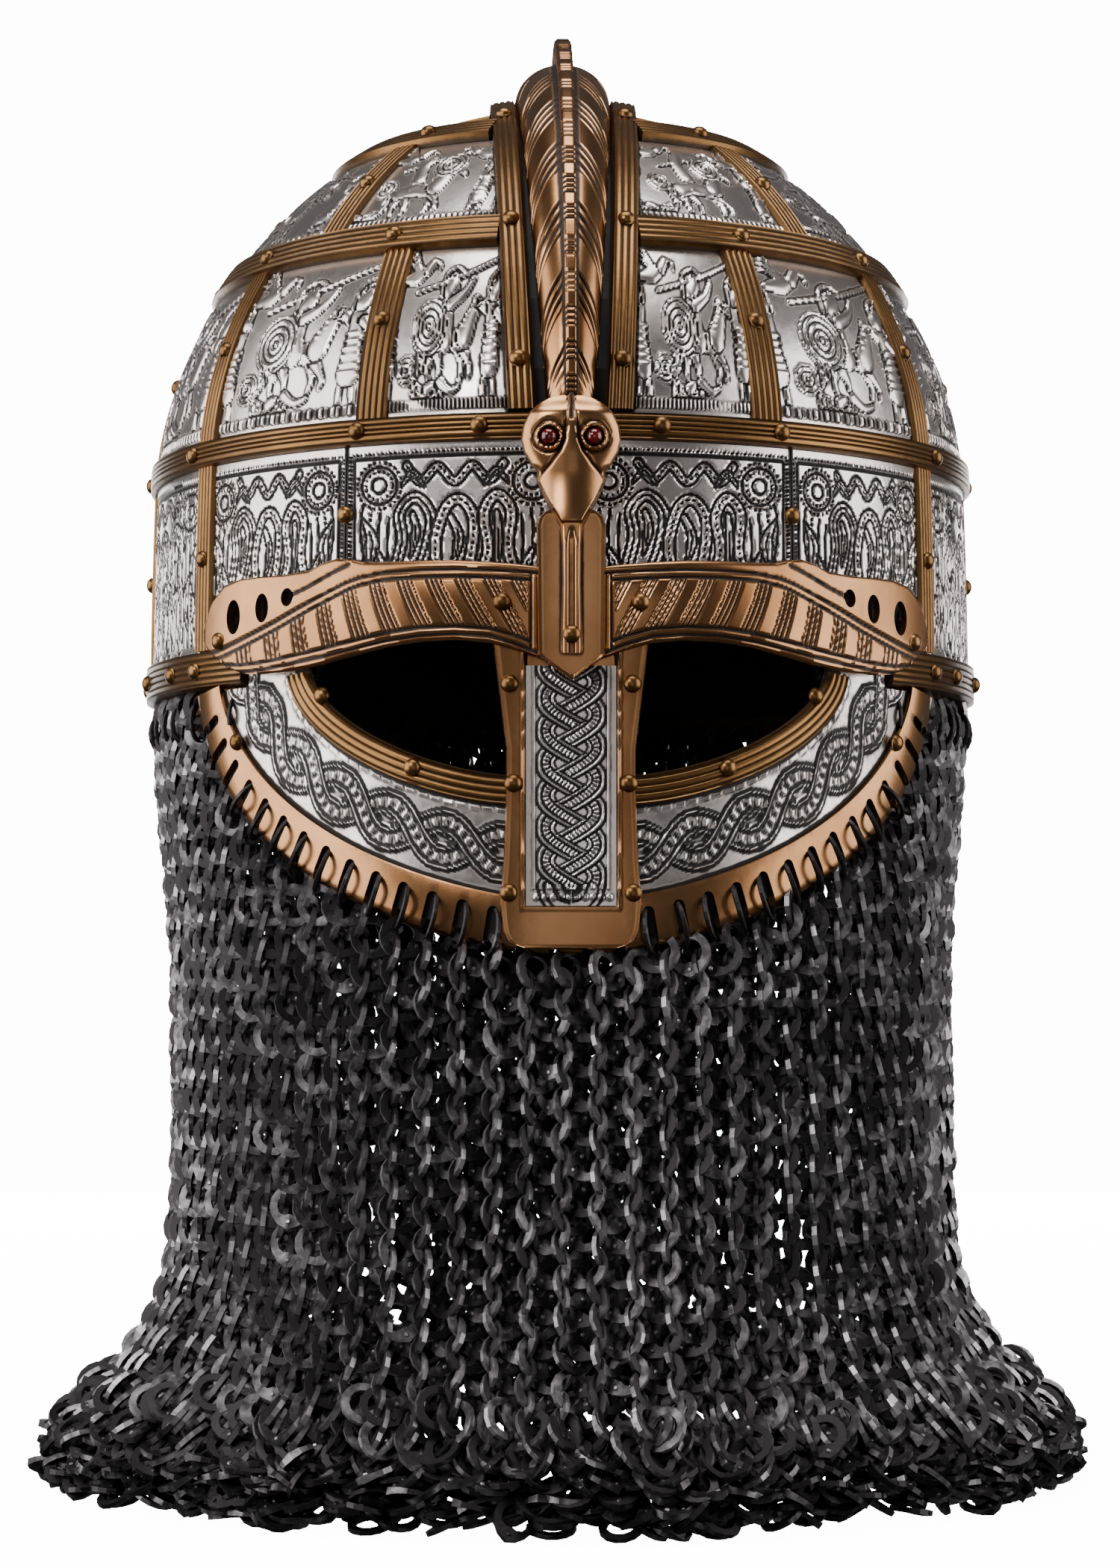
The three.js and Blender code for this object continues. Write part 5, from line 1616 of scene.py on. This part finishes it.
def tiledRings(name, mesh, centres, downs, outs, leans, tilts, rolls, tones, nodes):
    # An array makes the copies in a row, and then each copy is moved to its own place
    spacing = np.array([0.02, 0, 0])
    count = len(centres)
    source = bpy.data.objects.new(name + "_source", mesh)
    bpy.context.scene.collection.objects.link(source)
    copies = source.modifiers.new("copies", "ARRAY")
    copies.count = count
    copies.use_relative_offset = False
    copies.use_constant_offset = True
    copies.constant_offset_displace = spacing
    graph = bpy.context.evaluated_depsgraph_get()
    made = bpy.data.meshes.new_from_object(source.evaluated_get(graph))
    bpy.data.objects.remove(source)
    each = len(mesh.vertices)
    places = np.zeros(count * each * 3)
    made.vertices.foreach_get("co", places)
    local = places.reshape(count, each, 3) - np.arange(count)[:, None, None] * spacing
    downs = downs / np.linalg.norm(downs, axis=-1, keepdims=True)
    sideways = np.cross(outs, downs)
    sideways /= np.linalg.norm(sideways, axis=-1, keepdims=True)
    outs = np.cross(downs, sideways)
    axis = np.cos(leans)[:, None] * outs + np.sin(leans)[:, None] * sideways
    axis = np.cos(tilts)[:, None] * axis - np.sin(tilts)[:, None] * downs
    downs = np.cos(tilts)[:, None] * downs + np.sin(tilts)[:, None] * (np.cos(leans)[:, None] * outs)
    cross = np.cross(axis, downs)
    first = np.cos(rolls)[:, None] * downs + np.sin(rolls)[:, None] * cross
    second = np.cross(axis, first)
    moved = centres[:, None] + local[..., :1] * first[:, None] + local[..., 1:2] * second[:, None]
    moved += local[..., 2:] * axis[:, None]
    lowest = skull["rim"] - mail["drop"] + 0.3 * mm  # nothing goes through the floor
    moved[..., 2] += np.clip(lowest - moved[..., 2].min(axis=1), 0, None)[:, None]
    made.vertices.foreach_set("co", moved.ravel())
    layer = made.attributes.new("tone", "FLOAT", "POINT")
    layer.data.foreach_set("value", np.repeat(tones, each).astype(np.float32))
    made.update()
    made.name = name
    piece = bpy.data.objects.new(name, made)
    bpy.context.scene.collection.objects.link(piece)
    made.materials.clear()
    made.materials.append(finishes["mail"])
    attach(piece, "root")
    if nodes:
        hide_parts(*nodes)
    return piece


def rowClimbs():  # how far down the sheet each row hangs
    climbs = [mail["first"]]
    while climbs[-1] < mail["longest"]:
        grown = min(1, climbs[-1] / mail["pitchGrows"])
        climbs.append(climbs[-1] + mix(*mail["rowPitch"], grown))
    return climbs


def mailPlaces(rng):  # turn, row, centre and the way down of each ring
    climbs = rowClimbs()
    share = np.linspace(0.0, mailRows[-1, 0], 260)
    rows = []
    for column in range(mail["columns"] * 2):  # half steps, which the odd rows take
        around = column / mail["columns"] * math.pi
        turn = math.degrees(around + mail["backClose"] * math.sin(around))
        turn = turn - 360 if turn > 180 else turn
        guardLow = float(guardDrop(math.radians(turn) * faceRadius)) - mail["guardGap"]
        line = mailSheet(turn + 0 * share, share)
        length = np.concatenate([[0], np.cumsum(np.linalg.norm(np.diff(line, axis=0), axis=1))])
        at = lambda down: np.array([np.interp(down, length, line[:, i]) for i in range(3)])
        for row, down in enumerate(climbs):
            if (row + column) % 2 or down > length[-1]:
                continue
            centre = at(down)
            way = at(down + 3 * mm) - at(down - 3 * mm)
            height = centre[2] - skull["rim"]
            if abs(turn) < mail["guardTurn"] and height > guardLow:
                continue
            rows.append((turn, row, *centre, *way))
            for copy in range(mail["looseCopies"] if -height > mail["looseFrom"] else 0):
                shifted = centre + np.clip(rng.normal(0, 1, 3), -1.6, 1.6) * mail["scatter"]
                rows.append((turn, row + copy, *shifted, *way))
    return np.array(rows)


def makeMail():  # the order of the random draws below sets how every ring lies
    rng = np.random.default_rng(mail["seed"])
    rows = mailPlaces(rng)
    count = len(rows)
    turn, row, centres, downs = rows[:, 0], rows[:, 1], rows[:, 2:5], rows[:, 5:8]
    downs = downs / np.linalg.norm(downs, axis=1, keepdims=True)
    away = np.stack([np.sin(np.radians(turn)), -np.cos(np.radians(turn)), 0 * turn], -1)
    outs = away + [0, 0, 0.8] * (np.abs(downs[:, 2:]) < 0.8)
    drop = skull["rim"] - centres[:, 2]
    loose = smooth(mail["looseFrom"], mail["flatFrom"], drop)  # the hem's rings lie nearly flat in a heap
    heap = loose[:, None]
    toAndFro = np.where(row % 2 == 0, 1, -1)
    lean = np.radians(toAndFro * mail["lean"]) * (1 - 0.6 * loose)
    lean += rng.normal(0, 0.08, count) + loose * rng.normal(0, 0.25, count)
    tilt = np.radians(mix(*mail["tilt"], np.clip(drop / mail["pitchGrows"], 0, 1))) * (1 - loose)
    tilt += rng.normal(0, 0.05, count) + loose * rng.normal(0, 0.25, count)
    downs = mix(downs, away, 0.85 * heap) + rng.normal(0, 0.05, downs.shape) * (1 + 3 * heap)
    outs = mix(outs, np.array([0, 0, 1]), 0.85 * heap)
    roll = toAndFro * (np.pi / 2 - 0.5) + rng.normal(0, 0.45, count)
    roll += loose * rng.normal(0, 2, count)
    centres = centres + rng.normal(0, mail["jitter"], centres.shape) * (1 + 2 * heap)
    tones = rng.uniform(0, 1, count) - 0.9 * loose  # painted shade: the heap's rings are given a darker tone
    ring = makeRing()
    parts = ["front", "right_front", "right_rear", "rear", "left_rear", "left_front"]
    for index, part in enumerate(parts):
        fromMiddle = (turn - 60 * index + 180) % 360 - 180
        picked = np.abs(fromMiddle - 0.01) <= 30  # each ring goes into one part only
        print("mail", part, int(picked.sum()), "rings")
        own = [values[picked] for values in (centres, downs, outs, lean, tilt, roll, tones)]
        tiledRings(f"mail_{part}", ring, *own, ["mail_curtain"])


makeMail()


# Rail under the rim, and the round wire rings that hang the mail
hanger = {
    "wire": 0.62 * mm,
    "slotRadius": 5.3 * mm,
    "railRadius": 5.8 * mm,
    "railRings": 52,
    "railTurn": 51,
    "railDrop": 7.6 * mm,
    "lean": 27.0,
}


def wireRing(radius):
    bm = bmesh.new()
    seat = Matrix.Translation((radius, 0, 0)) @ Matrix.Rotation(math.pi / 2, 4, "X")
    bmesh.ops.create_circle(bm, segments=6, radius=hanger["wire"], matrix=seat)
    bmesh.ops.spin(bm, geom=bm.verts[:] + bm.edges[:], cent=(0, 0, 0), axis=(0, 0, 1), dvec=(0, 0, 0),
                   angle=2 * math.pi, steps=20, use_merge=True, use_duplicate=False)
    bmesh.ops.recalc_face_normals(bm, faces=bm.faces)
    mesh = bpy.data.meshes.new("wire_ring")
    bm.to_mesh(mesh)
    bm.free()
    return mesh


def hangRings(name, radius, centres, downs, outs, seed):
    rng = np.random.default_rng(seed)
    count = len(centres)
    none = np.zeros(count)
    leans = np.radians(90 - hanger["lean"]) + rng.normal(0, 0.1, count)
    leans *= np.where(centres[:, 0] > 0, 1, -1)
    tones = rng.uniform(0, 0.6, count)
    tiledRings(name, wireRing(radius), centres, downs, outs, leans, none, none, tones, [])


def slotRings():
    across = np.abs(besideLine(guardLine, slotShares, 0)[0])
    held = slotShares[(across > 17) & (across < 98)]

    def besideSlot(inward):
        x, y = besideLine(guardLine, held, guard["slotEnd"] + inward)
        return onFace(x * mm, y * mm, 0.9 * mm)

    top, foot = besideSlot(-0.7), besideSlot(-9.0)
    down = (foot - top) / np.linalg.norm(foot - top, axis=1, keepdims=True)
    middle = top + down * hanger["slotRadius"]
    hangRings("slot_rings", hanger["slotRadius"], middle, foot - top, outwardOf(middle), 3)


def railRings():
    turns = np.linspace(hanger["railTurn"], 360 - hanger["railTurn"], hanger["railRings"])
    middle = onSkull(turns, -hanger["railDrop"] + 0 * turns, -2.8 * mm)
    downs = np.tile([0, 0, -1.0], (len(turns), 1))
    hangRings("rail_rings", hanger["railRadius"], middle, downs, outwardOf(middle), 4)


def railTabs():
    section = np.array([  # height over the rim, distance out, cavity (painted shade, darkest on the inner side)
        (4.0, -3.4, 1),
        (4.0, -2.2, 0.3),
        (-2.4, -2.2, 0.2),
        (-7.6, -2.2, 0.1),
        (-8.0, -2.8, 0.4),
        (-7.6, -3.4, 1),
        (-2.4, -3.4, 1),
    ]) * [mm, mm, 1]
    gap = (360 - 2 * hanger["railTurn"]) / (hanger["railRings"] - 1)

    def place(u, s, out):
        turn = mix(tiers["rimTurn"], 360 - tiers["rimTurn"], u)
        fromRing = np.abs((turn - hanger["railTurn"] + gap / 2) % gap - gap / 2)
        notch = 1 - smooth(0.7, 1.0, fromRing)
        return onSkull(turn, np.where(s < -2.3 * mm, mix(s, -2.4 * mm + 0.1 * s, notch), s), out)

    reededPiece("rail_tabs", section, 700, place, ["mail_rail"])


def makeHangers():
    slotRings()
    railRings()
    railTabs()
    print("hangers made")


makeHangers()


# Stage, lights and camera
studio = {
    "floor": skull["rim"] - 199.6 * mm,
    "radius": 5.0,
    "glow": 14.0,
    "sky": tone(0.75, 0.77, 0.8),
    "skyStrength": 0.12,
    "lens": 91.9,
    "sensor": 36,
    "cameraPlace": (-0.022, -1.0498, -0.2267),
    "cameraTurn": (92.86, 0, -1.2),
    "lights": [  # name, place, what it shines on, size, watts
        ("key", (-0.75, -1.2, 0.7), (0, 0, -0.1), (0.45, 0.5), 10),
        ("left_box", (-1.3, -0.25, 0.1), (0, 0, -0.12), (1.5, 1.5), 30),
        ("right_box", (1.3, -0.3, 0.1), (0, 0, -0.12), (1.2, 1.4), 19),
        ("top_box", (0.0, -0.25, 1.2), (0, 0, 0), (1.1, 0.7), 18),
        ("front_fill", (0.1, -1.9, -0.25), (0, 0, -0.2), (1.0, 1.0), 2.2),
        ("rear_box", (0.0, 1.4, -0.1), (0, 0, -0.12), (1.8, 0.5), 14),
    ],
}


def makeStage():
    bm = bmesh.new()
    bmesh.ops.create_uvsphere(bm, u_segments=64, v_segments=48, radius=studio["radius"])
    for vert in bm.verts:
        vert.co.z = max(vert.co.z, studio["floor"])
    bmesh.ops.dissolve_degenerate(bm, dist=1e-5, edges=bm.edges)
    mesh = bpy.data.meshes.new("backdrop")
    bm.to_mesh(mesh)
    bm.free()
    backdrop = bpy.data.objects.new("backdrop", mesh)
    bpy.context.scene.collection.objects.link(backdrop)
    paper = lambda wire: {"Base Color": wire.noise(3.0).paint(tone(0.86, 0.86, 0.86), tone(0.9, 0.9, 0.9))}
    glow = {"Emission_Color": tone(1, 1, 1), "Emission_Strength": studio["glow"]}
    mesh.materials.append(newFinish("pale_paper", paper, Roughness=0.9, **glow))
    backdrop.visible_diffuse = False
    backdrop.visible_glossy = False
    backdrop.visible_shadow = False


def addLight(name, place, aim, size, power):
    light = bpy.data.lights.new(name, "AREA")
    light.shape = "RECTANGLE"
    light.size, light.size_y = size
    light.energy = power
    holder = bpy.data.objects.new(name, light)
    holder.location = place
    holder.rotation_euler = (Vector(aim) - Vector(place)).to_track_quat("-Z", "Y").to_euler()
    bpy.context.scene.collection.objects.link(holder)


def makeCamera():
    camera = bpy.data.cameras.new("camera")
    camera.sensor_fit = "VERTICAL"
    camera.sensor_height = studio["sensor"]
    camera.lens = studio["lens"]
    holder = bpy.data.objects.new("camera", camera)
    holder.location = studio["cameraPlace"]
    holder.rotation_euler = [math.radians(angle) for angle in studio["cameraTurn"]]
    bpy.context.scene.collection.objects.link(holder)
    bpy.context.scene.camera = holder


def makeStudio():
    makeStage()
    for light in studio["lights"]:
        addLight(*light)
    world = bpy.data.worlds.new("studio")
    bpy.context.scene.world = world
    world.use_nodes = True
    sky = world.node_tree.nodes["Background"]
    sky.inputs["Color"].default_value = studio["sky"]
    sky.inputs["Strength"].default_value = studio["skyStrength"]
    makeCamera()


makeStudio()

meshes = [piece.data for piece in bpy.data.objects if piece.type == "MESH"]
print("triangles", sum(len(face.vertices) - 2 for mesh in meshes for face in mesh.polygons))
